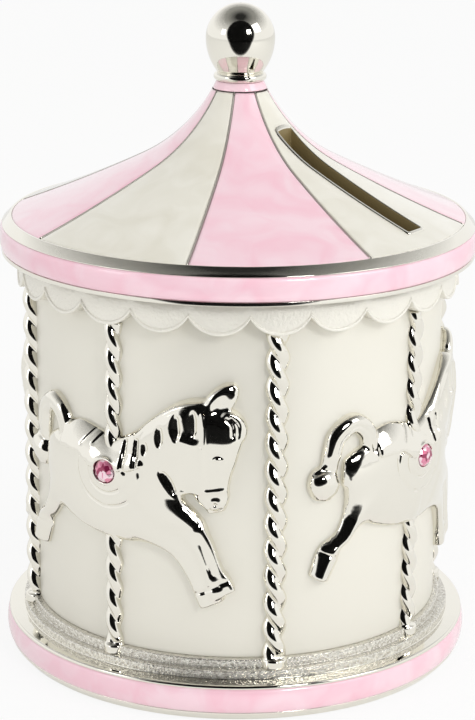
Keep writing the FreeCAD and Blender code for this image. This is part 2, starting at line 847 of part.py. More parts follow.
def carousel_pieces():
    """Columns between the horses; a pole, a horse and a stone at each quarter."""
    column = twisted_post(sheet.get("column_strand"), sheet.get("column_offset"), sheet.get("column_foot"))
    ring_copies("column", seated(column), 45)
    pole = twisted_post(sheet.get("pole_strand"), sheet.get("pole_offset"), sheet.get("pole_foot"))
    ring_copies("pole", seated(pole), 0)
    ring_copies("horse", horse_shape(), 0)
    ring_copies("crystal", stone_shape(), 0)


# Base plate, coin way and fastenings

chute_y = -size("chute_offset")
arbor_at = (size("arbor_x"), size("arbor_y"))
bed_low = plate_high
bed_high = bed_low + size("bedplate_thickness")
screw_bore = size("screw_radius") + size("seat_gap")
plate_screw_circle = (deck_hole_radius + plate_radius) / 2
PLATE_SCREWS_AT = [
    (plate_screw_circle * math.cos(turn), plate_screw_circle * math.sin(turn))
    for turn in (math.pi / 4 + k * math.pi / 2 for k in range(4))
]
PLATE_SCREW_BITE = 1.3


def screw_set(name, places, low, high):
    """Slotted round-head screws with their heads under the plate, as one group."""
    radius, head, tall = (sheet.get(f"screw_{k}") for k in ("radius", "head_radius", "head_height"))
    solids = []
    for x, y in ((float(x), float(y)) for x, y in places):
        shank = Part.makeCylinder(radius, high - low, Vector(x, y, low))
        top = Part.makeCylinder(head, tall, Vector(x, y, low - tall))
        corner = Vector(x - head * 1.2, y - head * 0.15, low - tall)
        slot = Part.makeBox(head * 2.4, head * 0.3, tall * 0.5, corner)
        solids.append(shank.fuse(top.cut(slot)).removeSplitter())
    keep(shaped(name, Part.Compound(solids)))


def plate_pieces():
    """The plate that closes the base, with its screws, and the screws that hold the movement on it."""
    wide = plate_radius
    body = turned("base_plate", [(0, plate_low), (wide, plate_low), (wide, plate_high), (0, plate_high)])
    drilled(body, "plate_screw_holes", PLATE_SCREWS_AT + BED_SCREWS_AT, screw_bore)
    drilled(body, "coin_outlet", [(0, chute_y)], size("outlet_radius"))
    drilled(body, "arbor_hole", [arbor_at], size("arbor_radius") + size("running_gap"))
    keep(body)
    screw_set("plate_screws", PLATE_SCREWS_AT, plate_low.value, plate_high.value + PLATE_SCREW_BITE)
    screw_set("movement_screws", BED_SCREWS_AT, plate_low.value, bed_high.value)


def tapped(casting):
    """The base casting with the blind holes for the plate screws."""
    holes = []
    for i, (x, y) in enumerate(PLATE_SCREWS_AT):
        deep = as_size(PLATE_SCREW_BITE + 1)
        holes.append(rod(f"tapped_hole_{i + 1}", (x, y, plate_high - 1), screw_bore, deep))
    return less("base_casting", casting, joined("tapped_holes", *holes))


def coin_pieces():
    """The sloping coin tray with its chute and posts, and the stopper in the outlet."""
    bore, wall = sheet.get("outlet_radius"), sheet.get("chute_wall")
    mouth, rise, skin = sheet.get("tray_mouth"), sheet.get("tray_rise"), sheet.get("tray_wall")
    rim = sheet.get("drum_radius") - sheet.get("drum_wall") - sheet.get("tray_gap")
    floor = plate_high.value
    chute = Vector(0, chute_y.value, 0)

    def hoop(radius, centre, height):
        return Part.Wire([Part.makeCircle(radius, centre + Vector(0, 0, height))])

    outside = Part.makeLoft([hoop(bore + wall, chute, mouth), hoop(rim, Vector(), mouth + rise)], True, True)
    inside = Part.makeLoft(
        [hoop(bore, chute, mouth + skin), hoop(rim - skin, Vector(), mouth + rise + 1e-3)], True, True
    )
    tube = Part.makeCylinder(bore + wall, mouth - floor, chute + Vector(0, 0, floor))
    whole = outside.fuse(tube)
    for x in (-30.0, 30.0):
        tall = mouth + 0.9 * rise - floor
        post = Part.makeCylinder(sheet.get("tray_post_radius"), tall, Vector(x, 20.0, floor))
        whole = whole.fuse(post)
    hollow = Part.makeCylinder(bore, mouth + 2 * skin - floor, chute + Vector(0, 0, floor - 1e-3))
    keep(shaped("coin_tray", whole.cut(inside).cut(hollow)))

    gap, flange = size("stopper_gap"), size("stopper_flange")
    plug = size("outlet_radius") - gap
    top = plate_low - gap
    low = top - flange
    tip = top + size("stopper_plug")
    wide = size("outlet_radius") + size("stopper_lip")
    points = [(0, low), (wide - 0.5, low), (wide, low + 0.5), (wide, top), (plug, top), (plug, tip - 0.6)]
    blank = turned("stopper_blank", points + [(plug - 0.4, tip), (0, tip)])
    blank.setExpression("Placement.Base.y", chute_y.text)
    bar = size("stopper_bar")
    well = rod("stopper_well", (0, chute_y, low - 1), plug * 0.7, flange + size("stopper_plug") / 2 + 1)
    half = bar / 2
    reach = size("outlet_radius")
    grip = box("stopper_grip", (-reach, chute_y - half, low), (reach, chute_y + half, tip))
    keep(less("coin_stopper", blank, less("stopper_recess", well, grip)))


# Music movement


def gear_face(module, teeth, backlash, addendum=1.0, dedendum=1.2):
    """The outline of an involute spur gear about the origin, with a tooth on +X."""
    pitch = module * teeth / 2
    base = pitch * math.cos(math.radians(20))
    root_radius, tip = pitch - dedendum * module, pitch + addendum * module

    def spread(radius):
        lean = math.acos(min(base / radius, 1.0))
        return math.tan(lean) - lean

    half = (math.pi * module / 2 - backlash) / (2 * pitch) + spread(pitch)
    flank = [max(base, root_radius) + (tip - max(base, root_radius)) * k / 4 for k in range(5)]
    points = []
    for tooth in range(teeth):
        centre = 2 * math.pi * tooth / teeth
        side = [(r, half - spread(r)) for r in flank]
        foot = [(root_radius, side[0][1])] if root_radius < base else []
        for r, turn in foot + side:
            points.append(Vector(r * math.cos(centre - turn), r * math.sin(centre - turn), 0))
        for r, turn in reversed(foot + side):
            points.append(Vector(r * math.cos(centre + turn), r * math.sin(centre + turn), 0))
    return Part.Face(Part.makePolygon(points + points[:1]))


def along_x(shape, x, y, z, turn=0.0):
    """The shape turned about its own Z, then laid with that axis along +X at a place."""
    spin = Placement(Vector(), Rotation(Vector(0, 0, 1), turn))
    lie = Placement(Vector(x, y, z), Rotation(Vector(0, 0, 1), Vector(1, 0, 0)))
    made = shape.copy()
    made.Placement = lie * spin
    return made


cylinder_y = sheet.get("arbor_y")
pinion_pitch = sheet.get("crown_module") * sheet.get("pinion_teeth") / 2
crown_pitch = sheet.get("crown_module") * sheet.get("crown_teeth") / 2
cup_top = bed_high + size("spring_cup_height")
crown_low = cup_top + 0.3
crown_root = crown_low + 1.4
mesh_level = crown_root.value + 0.9
cylinder_z = mesh_level + pinion_pitch
mesh_x = sheet.get("arbor_x") + crown_pitch
face = sheet.get("crown_face")
barrel_start = mesh_x + face / 2 + 2.7
barrel_end = barrel_start + sheet.get("cylinder_length")
gear_start = barrel_end + 0.4
gear_end = gear_start + sheet.get("gear_width")
bed_left = sheet.get("arbor_x") - 12.5
bed_right = gear_end + 2.4
bed_back = 32.0
BED_SCREWS_AT = [
    (bed_left + 3.5, -4.0),
    (bed_left + 3.5, bed_back - 6.0),
    (bed_right - 3.1, -5.0),
    (bed_right - 2.1, bed_back - 3.5),
]
WORM_STARTS = 4
WORM_WHEEL_TEETH = 12
SHAFT = 1.0
bearing = SHAFT + sheet.get("running_gap")
PLATE = 1.5


def spring_pieces():
    """The spring cup, the spring in it, the arbor, the key and the crown wheel."""
    outer, wall = size("spring_cup_radius"), size("spring_cup_wall")
    hole = size("arbor_radius") + size("running_gap")
    roof = cup_top - wall
    points = [
        (outer - wall, bed_high),
        (outer, bed_high),
        (outer, cup_top),
        (hole, cup_top),
        (hole, roof),
        (outer - wall, roof),
    ]
    cup = turned("spring_cup", points)
    cup.setExpression("Placement.Base.x", arbor_at[0].text)
    cup.setExpression("Placement.Base.y", arbor_at[1].text)
    keep(cup)

    strip, turns = sheet.get("spring_strip"), sheet.get("spring_turns")
    first, last = hole.value + 0.4, (outer - wall).value - strip - 0.1
    steps = 24 * int(turns)
    edges = []
    for shift in (0.0, strip):
        ring = []
        for k in range(steps + 1):
            angle = 2 * math.pi * turns * k / steps
            reach = first + (last - first) * k / steps + shift
            ring.append(Vector(reach * math.cos(angle), reach * math.sin(angle), 0))
        curve = Part.BSplineCurve()
        curve.interpolate(ring)
        edges.append(curve)
    inner, outer_edge = edges
    ends = [
        Part.makeLine(inner.value(inner.LastParameter), outer_edge.value(outer_edge.LastParameter)),
        Part.makeLine(outer_edge.value(outer_edge.FirstParameter), inner.value(inner.FirstParameter)),
    ]
    loop = Part.Wire(Part.__sortEdges__([edges[0].toShape(), ends[0], edges[1].toShape(), ends[1]]))
    tall = (roof - bed_high).value - 0.4
    spring = Part.Face(loop).extrude(Vector(0, 0, tall))
    spring.translate(Vector(arbor_at[0].value, arbor_at[1].value, bed_high.value))
    keep(shaped("mainspring", spring))

    hub_low = size("key_foot_gap")
    wing, thick = size("key_wing_radius"), size("key_thickness")
    hub_high = plate_low - size("fit_gap") * 4
    arbor_low = hub_low + wing
    keep(rod("winding_arbor", (*arbor_at, arbor_low), size("arbor_radius"), crown_root - arbor_low))
    hub = rod("key_hub", (*arbor_at, hub_low), size("key_hub_radius"), hub_high - hub_low)
    wing_z = hub_low + wing
    pieces, holes = [hub], []
    for side, sign in (("left", -1), ("right", 1)):
        x = arbor_at[0] + size("key_wing_centre") * sign
        y = arbor_at[1] - thick / 2
        pieces.append(rod(f"key_wing_{side}", (x, y, wing_z), wing, thick, "y"))
        holes.append(rod(f"key_eye_{side}", (x, y - 1, wing_z), wing * 0.5, thick + 2, "y"))
    bore = rod("key_bore", (*arbor_at, arbor_low), size("arbor_radius"), plate_low)
    keep(less("winding_key", joined("key_blank", *pieces), joined("key_cuts", bore, *holes)))

    inner, rim = crown_pitch - face / 2, crown_pitch + face / 2
    blank = Part.makeCylinder(rim, 1.4, Vector(0, 0, crown_low.value))
    pitch = math.pi * sheet.get("crown_module")
    lean = math.tan(math.radians(20))
    count = int(sheet.get("crown_teeth"))
    wheel = blank.cut(Part.makeCylinder(sheet.get("arbor_radius"), 3, Vector(0, 0, crown_low.value - 1)))
    wheel = wheel.cut(Part.makeCylinder(inner - 1.0, 0.5, Vector(0, 0, crown_root.value - 0.5)))
    root_z, tip_z = crown_root.value - 0.05, mesh_level + 0.6
    for k in range(count):
        sections = []
        for radius in (inner, rim):
            half = [pitch / 4 - 0.13 + lean * (mesh_level - z) for z in (root_z, tip_z)]
            scale = radius / crown_pitch
            outline_points = [
                Vector(radius, -half[0] * scale, root_z),
                Vector(radius, half[0] * scale, root_z),
                Vector(radius, half[1] * scale, tip_z),
                Vector(radius, -half[1] * scale, tip_z),
            ]
            sections.append(Part.makePolygon(outline_points + outline_points[:1]))
        tooth = Part.makeLoft(sections, True, True)
        tooth.rotate(Vector(), Vector(0, 0, 1), 360.0 * k / count)
        wheel = wheel.fuse(tooth)
    wheel.translate(Vector(arbor_at[0].value, arbor_at[1].value, 0))
    keep(shaped("crown_wheel", wheel))


def cylinder_pieces():
    """The pinned cylinder with its shaft, its pinion and its wheel, and the two bearing plates."""
    start = mesh_x - face / 2 - 0.4
    end = gear_end + 0.4 + PLATE
    radius, pin = sheet.get("cylinder_radius"), sheet.get("pin_height")
    barrel = Part.makeCylinder(radius, barrel_end - barrel_start)
    barrel = barrel.cut(Part.makeCylinder(SHAFT, barrel_end - barrel_start))
    notes = int(sheet.get("note_count"))
    track = (barrel_end - barrel_start - 1.0) / notes
    pins = []
    for note in range(notes):
        for beat in range(3):
            angle = math.radians(137.5 * note + 120 * beat + 29 * (note % 3))
            out = Vector(math.cos(angle), math.sin(angle), 0)
            place = out * (radius - 0.3) + Vector(0, 0, 0.5 + track * (note + 0.5))
            pins.append(Part.makeCylinder(0.18, pin + 0.3, place, out))
    barrel = barrel.fuse(pins)
    keep(shaped("tune_cylinder", along_x(barrel, barrel_start, cylinder_y, cylinder_z)))
    shaft = rod("cylinder_shaft", (start, cylinder_y, cylinder_z), as_size(SHAFT), as_size(end - start), "x")
    keep(shaft)

    bore = Part.makeCylinder(SHAFT, 10, Vector(0, 0, -1))
    teeth = int(sheet.get("pinion_teeth"))
    pinion = gear_face(sheet.get("crown_module"), teeth, 0.2, 0.62, 1.0).extrude(Vector(0, 0, face)).cut(bore)
    keep(shaped("cylinder_pinion", along_x(pinion, mesh_x - face / 2, cylinder_y, cylinder_z, 180.0 / teeth)))
    width = sheet.get("gear_width")
    teeth = int(sheet.get("wheel_teeth"))
    wheel = gear_face(sheet.get("wheel_module"), teeth, 0.12, 0.9).extrude(Vector(0, 0, width)).cut(bore)
    keep(shaped("cylinder_wheel", along_x(wheel, gear_start, cylinder_y, cylinder_z, -90.0)))

    near = mesh_x + face / 2 + 0.6
    fly = fly_axis_y()
    for name, x, low, high in (
        ("left_bearing_plate", near, cylinder_y - 5, cylinder_y + 5),
        ("right_bearing_plate", gear_end + 0.4, fly - 3, cylinder_y + 5),
    ):
        plate = box(f"{name}_blank", (x, low, bed_high), (x + PLATE, high, cylinder_z + 3.5))
        through = as_size(PLATE + 2)
        holes = [rod(f"{name}_bore", (x - 1, cylinder_y, cylinder_z), as_size(bearing), through, "x")]
        if low < fly:
            holes.append(rod(f"{name}_fly_bore", (x - 1, fly, cylinder_z), as_size(bearing), through, "x"))
        keep(less(name, plate, *holes))


def fly_axis_y():
    """The y of the governor shaft: one centre distance from the cylinder."""
    teeth = sheet.get("wheel_teeth") + sheet.get("fly_pinion_teeth")
    return cylinder_y - sheet.get("wheel_module") * teeth / 2


def comb_pieces():
    """The steel comb, the block it stands on and its screws."""
    tip = cylinder_y + sheet.get("cylinder_radius") + sheet.get("pin_height") + 0.2
    root_y, back = tip + 7.3, tip + 12.3
    low, high = cylinder_z - 0.5, cylinder_z + 0.5
    x0, x1 = barrel_start + 0.3, barrel_end - 0.3
    block = box("comb_block", (x0, root_y, bed_high), (x1, back, low))
    keep(block)
    notes = int(sheet.get("note_count"))
    pitch = (x1 - x0) / notes
    comb = Part.makeBox(x1 - x0, back - tip, high - low, Vector(x0, tip, low))
    thin = Part.makeBox(x1 - x0 + 2, root_y - tip + 0.5, high - low, Vector(x0 - 1, tip - 1, high - 0.35))
    comb = comb.cut(thin)
    slits = []
    for k in range(1, notes):
        slits.append(Part.makeBox(0.2, root_y - tip + 1, 3, Vector(x0 + pitch * k - 0.1, tip - 1, low - 1)))
    comb = comb.cut(slits)
    screws = []
    for k in range(3):
        place = Vector(x0 + (x1 - x0) * (k + 0.5) / 3, (root_y + back) / 2, low)
        comb = comb.cut(Part.makeCylinder(0.75, 3, place - Vector(0, 0, 1)))
        head = Part.makeCylinder(1.4, 0.9, place + Vector(0, 0, high - low))
        slot = Part.makeBox(3.2, 0.4, 0.4, place + Vector(-1.6, -0.2, high - low + 0.5))
        screws.append(Part.makeCylinder(0.7, high - low, place).fuse(head.cut(slot)).removeSplitter())
    keep(shaped("tone_comb", comb))
    keep(shaped("comb_screws", Part.Compound(screws)))


def governor_pieces():
    """The fly shaft with its pinion and worm wheel, the fly with its worm, and their bracket."""
    y = fly_axis_y()
    left = gear_start - 10.6
    end = gear_end + 0.4 + PLATE
    teeth = int(sheet.get("fly_pinion_teeth"))
    width = sheet.get("gear_width")
    shaft = Part.makeCylinder(SHAFT, end - left)
    wheel_at = gear_start - left - 6.6
    reach = sheet.get("fly_wheel_radius")
    wheel_module = 2 * reach / (WORM_WHEEL_TEETH + 1)
    rim = gear_face(wheel_module, WORM_WHEEL_TEETH, 0.1, 0.5, 0.8).extrude(Vector(0, 0, 2))
    rim.translate(Vector(0, 0, wheel_at))
    pinion = gear_face(sheet.get("wheel_module"), teeth, 0.12, 0.9, 1.15).extrude(Vector(0, 0, width))
    pinion.rotate(Vector(), Vector(0, 0, 1), 90.0 - 180.0 / teeth)
    pinion.translate(Vector(0, 0, gear_start - left))
    whole = shaft.fuse([rim, pinion])
    keep(shaped("governor_wheel", along_x(whole, left, y, cylinder_z)))

    worm, fly_y = sheet.get("worm_radius"), y - reach - sheet.get("worm_radius") - 0.35
    x = left + wheel_at + 1
    foot_high = cylinder_z - 5.0
    pivot = 0.6
    stem = Part.makeCylinder(pivot, cylinder_z + 4 - bed_high.value - 0.8, Vector(0, 0, bed_high.value + 0.8))
    thread = Part.makeCylinder(worm, 6, Vector(0, 0, cylinder_z - 3))
    grooves = []
    lead = WORM_STARTS * math.pi * wheel_module
    for start in range(WORM_STARTS):
        helix = Part.makeHelix(lead, 7, worm, 0, False)
        spine = Part.Wire(helix.Edges)
        climb = Vector(0, 2 * math.pi * worm, lead)
        ring = Part.Wire([Part.makeCircle(0.36, Vector(worm, 0, 0), climb)])
        groove = spine.makePipeShell([ring], True, True)
        groove.rotate(Vector(), Vector(0, 0, 1), 360.0 * start / WORM_STARTS)
        groove.translate(Vector(0, 0, cylinder_z - 3.5))
        grooves.append(groove)
    thread = thread.cut(grooves)
    blade = sheet.get("fly_radius")
    vane = Part.makeBox(2 * blade, 0.4, sheet.get("fly_height"), Vector(-blade, -0.2, cylinder_z + 3.4))
    fly = stem.fuse([thread, vane])
    fly.translate(Vector(x, fly_y, 0))
    keep(shaped("governor_fly", fly))

    post = box("governor_post", (left + 0.4, y - 3, bed_high), (left + 0.4 + PLATE, y + 3, cylinder_z + 3))
    step = box("governor_foot", (left + 0.4, fly_y - 2, bed_high), (x + 3, fly_y + 2, foot_high))
    bar = box("governor_bar", (left + 0.4, fly_y - 2, bed_high), (left + 0.4 + PLATE, y + 3, foot_high))
    bores = [rod("governor_bore", (left - 1, y, cylinder_z), as_size(bearing), as_size(PLATE + 3), "x")]
    bores.append(rod("governor_step", (x, fly_y, bed_high + 0.6), as_size(pivot + 0.05), as_size(20)))
    keep(less("governor_bracket", joined("governor_frame", post, step, bar), *bores))


def bedplate():
    """The plate that carries the movement, cut clear of the chute and the arbor."""
    low_y = fly_axis_y() - 9.0
    blank = box("bedplate_blank", (bed_left, low_y, bed_low), (bed_right, bed_back, bed_high))
    disc = rod("bedplate_limit", (0, 0, bed_low), deck_hole_radius - 0.8, size("bedplate_thickness"))
    clear = size("outlet_radius") + size("chute_wall") + 0.5
    chute = rod("bedplate_chute", (0, chute_y, bed_low - 1), clear, as_size(9))
    bore = size("arbor_radius") + size("running_gap")
    hole = rod("bedplate_arbor", (*arbor_at, bed_low - 1), bore, as_size(9))
    deep = as_size(9)
    holes = []
    for i, (x, y) in enumerate(BED_SCREWS_AT):
        holes.append(rod(f"bedplate_screw_{i}", (x, y, bed_low - 1), screw_bore, deep))
    keep(less("movement_bedplate", shared("bedplate_disc", blank, disc), chute, hole, *holes))


base_pieces()
drum_pieces()
roof_pieces()
finial_pieces()
carousel_pieces()
plate_pieces()
coin_pieces()
bedplate()
spring_pieces()
cylinder_pieces()
comb_pieces()
governor_pieces()
doc.recompute()

faults = [o.Label for o in doc.Objects if "Invalid" in o.State or "Error" in o.State]
faults += [p.Label for p in PARTS if p.Shape.isNull() or not p.Shape.isValid() or not p.Shape.Solids]
if faults:
    raise RuntimeError(f"faulty objects: {faults}")

os.makedirs("parts", exist_ok=True)
for part in PARTS:
    part.Shape.exportStep(f"parts/{part.Label}.step")
print(len(PARTS), "sub-parts")
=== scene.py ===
"""Look of the carousel money box: polished plate, pearl enamel, relief horses and faceted stones."""

import bmesh
import bpy
import math
import numpy as np
from mathutils import Matrix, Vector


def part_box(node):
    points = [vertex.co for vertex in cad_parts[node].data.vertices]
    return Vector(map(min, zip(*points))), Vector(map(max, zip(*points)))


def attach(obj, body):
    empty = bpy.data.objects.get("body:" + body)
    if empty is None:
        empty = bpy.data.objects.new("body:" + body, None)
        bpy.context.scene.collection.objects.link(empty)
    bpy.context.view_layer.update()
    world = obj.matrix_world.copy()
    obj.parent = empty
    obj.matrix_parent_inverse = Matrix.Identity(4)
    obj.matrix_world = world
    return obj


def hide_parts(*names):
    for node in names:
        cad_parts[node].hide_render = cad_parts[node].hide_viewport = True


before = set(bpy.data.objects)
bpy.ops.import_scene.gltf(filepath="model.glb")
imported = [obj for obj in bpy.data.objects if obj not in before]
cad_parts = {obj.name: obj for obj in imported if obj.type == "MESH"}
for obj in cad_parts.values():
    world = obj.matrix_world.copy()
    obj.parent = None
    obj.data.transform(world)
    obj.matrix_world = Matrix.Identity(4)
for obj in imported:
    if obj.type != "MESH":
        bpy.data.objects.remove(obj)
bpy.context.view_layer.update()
MM = 0.001
TAU = 2 * math.pi

# Sizes in millimetres, read from the frame where a node gives them

DRUM_LOW, DRUM_HIGH = (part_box("drum")[k].z / MM for k in (0, 1))
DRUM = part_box("drum")[1].x / MM
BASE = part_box("base_casting")[1].x / MM
BAND_LOW, BAND_HIGH = (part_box("base_enamel_band")[k].z / MM for k in (0, 1))
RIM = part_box("roof_shell")[1].x / MM
RIM_LOW, RIM_HIGH = (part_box("roof_enamel_band")[k].z / MM for k in (0, 1))
PEAK_RING_LOW, PEAK_RING_HIGH = (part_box("peak_ring")[k].z / MM for k in (0, 1))
PEAK_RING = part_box("peak_ring")[1].x / MM
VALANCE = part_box("valance")[1].x / MM
VALANCE_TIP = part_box("valance")[0].z / MM
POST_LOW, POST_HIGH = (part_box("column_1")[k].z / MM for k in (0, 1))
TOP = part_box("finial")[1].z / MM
POST_CIRCLE = DRUM + 0.2
ENAMEL_DEPTH = 0.8
BAND_CROWN = 0.45
STEP = 1.9
DECK = DRUM_LOW - 2 * STEP
STEP_TWO = DRUM + 1.4
STEP_ONE = STEP_TWO + 1.8
BEVEL = 1.9
EAVE = np.array([RIM - BEVEL - 0.5, RIM_HIGH + BEVEL])
KNEE = EAVE + [-28.1, 12.2]
PEAK = np.array([PEAK_RING, PEAK_RING_LOW])
LOW_ROOF_RADIUS = 297.0
PANELS = 8
PANEL_DEPTH = 0.7
SEAM = 0.5
SLOT_MIDDLE, SLOT_LENGTH, SLOT_WIDTH, SLOT_BORDER = 28.4, 33.2, 5.0, 0.8


# Mesh building


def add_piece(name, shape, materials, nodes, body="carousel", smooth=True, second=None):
    """A mesh object from points in millimetres and faces, turned outwards, which stands for CAD nodes.

    second, where given, is a function of the face middles that picks the faces of the second material.
    """
    points, faces = shape
    mesh = bpy.data.meshes.new(name)
    mesh.from_pydata((np.asarray(points) * MM).tolist(), [], [list(face) for face in faces])
    work = bmesh.new()
    work.from_mesh(mesh)
    bmesh.ops.recalc_face_normals(work, faces=work.faces)
    work.to_mesh(mesh)
    work.free()
    mesh.polygons.foreach_set("use_smooth", np.full(len(mesh.polygons), smooth))
    piece = bpy.data.objects.new(name, mesh)
    bpy.context.scene.collection.objects.link(piece)
    for material in materials:
        mesh.materials.append(material)
    if second:
        middles = np.empty(len(mesh.polygons) * 3)
        mesh.polygons.foreach_get("center", middles)
        chosen = second(middles.reshape(-1, 3) / MM)
        mesh.polygons.foreach_set("material_index", chosen.astype(np.int32))
    mesh.update()
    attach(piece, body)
    if nodes:
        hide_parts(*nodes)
    return piece


def grid_faces(rows, columns, wrap_rows, wrap_columns):
    """Quads over a grid of rows by columns points, closed on itself where wrap is set."""
    i = np.arange(rows if wrap_rows else rows - 1)[:, None]
    j = np.arange(columns if wrap_columns else columns - 1)[None, :]
    down, right = (i + 1) % rows, (j + 1) % columns
    corners = [i * columns + j, i * columns + right, down * columns + right, down * columns + j]
    return np.stack(np.broadcast_arrays(*corners), axis=-1).reshape(-1, 4)


def combined(*shapes):
    """Several shapes of quads as one: points in a row, faces counted on from the points before theirs."""
    points, faces = zip(*shapes)
    starts = np.cumsum([0, *map(len, points)])
    return np.concatenate(points), np.concatenate([quads + start for quads, start in zip(faces, starts)])


def rounded(corners, steps=6):
    """A closed outline of (x, y, radius) corners, each replaced by an arc that touches both sides."""
    corners = np.asarray(corners, float)
    outline = []
    for k, (x, y, radius) in enumerate(corners):
        corner = np.array([x, y])
        back, on = corners[k - 1, :2] - corner, corners[(k + 1) % len(corners), :2] - corner
        back, on = back / np.linalg.norm(back), on / np.linalg.norm(on)
        half = math.acos(np.clip(back @ on, -1, 1)) / 2
        middle = corner + (back + on) / np.linalg.norm(back + on) * radius / math.sin(half)
        reach = radius / math.tan(half)
        first, last = corner + back * reach - middle, corner + on * reach - middle
        sweep = math.acos(np.clip(first @ last / radius**2, -1, 1))
        t = np.linspace(0, 1, steps)[:, None]
        arc = (np.sin((1 - t) * sweep) * first + np.sin(t * sweep) * last) / math.sin(sweep)
        outline.append(middle + arc)
    return np.concatenate(outline)


def turned(outline, segments=288):
    """A closed (radius, height) outline carried round Z."""
    outline = np.asarray(outline, float)
    angle = np.linspace(0, TAU, segments, endpoint=False)[:, None]
    radius, height = outline[:, 0][None], outline[:, 1][None]
    flat = np.broadcast_to(height, (segments, len(outline)))
    points = np.stack([radius * np.cos(angle), radius * np.sin(angle), flat], axis=-1)
    return points.reshape(-1, 3), grid_faces(segments, len(outline), True, True)


def slab(top, bottom, wrap=False):
    """A closed slab between two grids of the same shape; wrap closes the columns on themselves."""
    rows, columns = top.shape[:2]
    count = rows * columns
    sheet = grid_faces(rows, columns, False, wrap)
    index = np.arange(count).reshape(rows, columns)
    if wrap:
        rings = [index[0], index[-1]]
    else:
        rings = [np.concatenate([index[0], index[1:, -1], index[-1, -2::-1], index[-2:0:-1, 0]])]
    walls = []
    for ring in rings:
        after = np.roll(ring, -1)
        walls.append(np.stack([ring, after, after + count, ring + count], axis=-1))
    faces = np.concatenate([sheet, sheet[:, ::-1] + count, *walls])
    return np.concatenate([top.reshape(-1, 3), bottom.reshape(-1, 3)]), faces


def spun(shape, degrees):
    """The shape turned about Z."""
    points, faces = shape
    turn = math.radians(degrees)
    c, s = math.cos(turn), math.sin(turn)
    return points @ np.array([[c, s, 0], [-s, c, 0], [0, 0, 1]]), faces


# Materials


def hex_colour(code):
    """The linear colour of an sRGB hex value."""
    channel = np.array([int(code[k : k + 2], 16) for k in (1, 3, 5)]) / 255
    linear = np.where(channel <= 0.04045, channel / 12.92, ((channel + 0.055) / 1.055) ** 2.4)
    return (*linear.tolist(), 1.0)


def add_node(material, kind, inputs=None, stops=(), **settings):
    """A node with its settings: inputs are values or sockets to link, stops are a colour ramp's stops."""
    tree = material.node_tree
    made = tree.nodes.new(kind)
    for key, value in settings.items():
        setattr(made, key, value)
    for key, value in (inputs or {}).items():
        if isinstance(value, bpy.types.NodeSocket):
            tree.links.new(value, made.inputs[key])
        else:
            made.inputs[key].default_value = value
    for k, (place, code) in enumerate(stops):
        stop = made.color_ramp.elements[k] if k < 2 else made.color_ramp.elements.new(place)
        stop.position, stop.color = place, hex_colour(code)
    return made


def new_material(name):
    """An empty node material."""
    material = bpy.data.materials.new(name)
    material.use_nodes = True
    material.node_tree.nodes.clear()
    return material


# Most of a noise's values lie in this range, so what follows it is spread over the range
NOISE_LOW, NOISE_HIGH = 0.3, 0.7


def silver_plate(name, tint, dull, bright, pit, depth, metal=1.0, tarnish_and_pit_shade=None):
    """Electroplated silver over a casting: mirror metal, faint polish marks and a ground of shallow pits.

    Roughness goes from bright to dull in smears 6 mm across. The pits are pit millimetres across and depth
    deep. The darker colour for the pits, where given, is painted into them: partly tarnish and partly
    painted shade that stands in for the shade in the pits. A metal share below 1 isn't physical: it keeps a
    matt or rough plate as pale as the photographed one.
    """
    material = new_material(name)
    place = add_node(material, "ShaderNodeTexCoord").outputs["Object"]
    inputs = {"Vector": place, "Scale": 1 / (6.0 * MM), "Detail": 3.0}
    smears = add_node(material, "ShaderNodeTexNoise", inputs)
    inputs = {"Vector": place, "Scale": 1 / (pit * MM), "Detail": 3.0}
    pits = add_node(material, "ShaderNodeTexNoise", inputs)
    inputs = {"Height": pits.outputs["Fac"], "Distance": depth * MM, "Strength": 1.0}
    bump = add_node(material, "ShaderNodeBump", inputs)
    inputs = {"Value": smears.outputs["Fac"], "From Min": NOISE_LOW, "From Max": NOISE_HIGH}
    rough = add_node(material, "ShaderNodeMapRange", inputs | {"To Min": bright, "To Max": dull})
    colour = hex_colour(tint)
    # Painted shade: the pits get a darker colour, partly tarnish and partly the shade that falls in them
    if tarnish_and_pit_shade:
        stops = [(NOISE_LOW, tarnish_and_pit_shade), (NOISE_HIGH, tint)]
        blend = add_node(material, "ShaderNodeValToRGB", {"Fac": pits.outputs["Fac"]}, stops)
        colour = blend.outputs["Color"]
    values = {"Base Color": colour, "Metallic": metal, "Roughness": rough.outputs["Result"]}
    values["Normal"] = bump.outputs["Normal"]
    shader = add_node(material, "ShaderNodeBsdfPrincipled", values)
    add_node(material, "ShaderNodeOutputMaterial", {"Surface": shader.outputs["BSDF"]})
    return material


def pearl_enamel(name, pale, deep):
    """Fired pearl enamel: two close shades in slow swirls under a clear glassy coat with a faint ripple.

    The swirl is noise read at another noise's colours, so its scale of 4 counts in those colours and not in
    millimetres. The blots that it follows are 14 mm across.
    """
    material = new_material(name)
    place = add_node(material, "ShaderNodeTexCoord").outputs["Object"]
    inputs = {"Vector": place, "Scale": 1 / (14.0 * MM), "Detail": 1.0}
    warp = add_node(material, "ShaderNodeTexNoise", inputs)
    inputs = {"Vector": warp.outputs["Color"], "Scale": 4.0, "Detail": 2.0}
    swirl = add_node(material, "ShaderNodeTexNoise", inputs)
    stops = [(NOISE_LOW, pale), (NOISE_HIGH, deep)]
    colour = add_node(material, "ShaderNodeValToRGB", {"Fac": swirl.outputs["Fac"]}, stops)
    inputs = {"Vector": place, "Scale": 1 / (5.0 * MM), "Detail": 1.0}
    ripple = add_node(material, "ShaderNodeTexNoise", inputs)
    bump = add_node(material, "ShaderNodeBump", {"Height": ripple.outputs["Fac"], "Distance": 0.02 * MM})
    values = {"Base Color": colour.outputs["Color"], "Roughness": 0.3, "Coat Weight": 1.0}
    values |= {"Coat Roughness": 0.04, "Coat Normal": bump.outputs["Normal"]}
    shader = add_node(material, "ShaderNodeBsdfPrincipled", values)
    add_node(material, "ShaderNodeOutputMaterial", {"Surface": shader.outputs["BSDF"]})
    return material


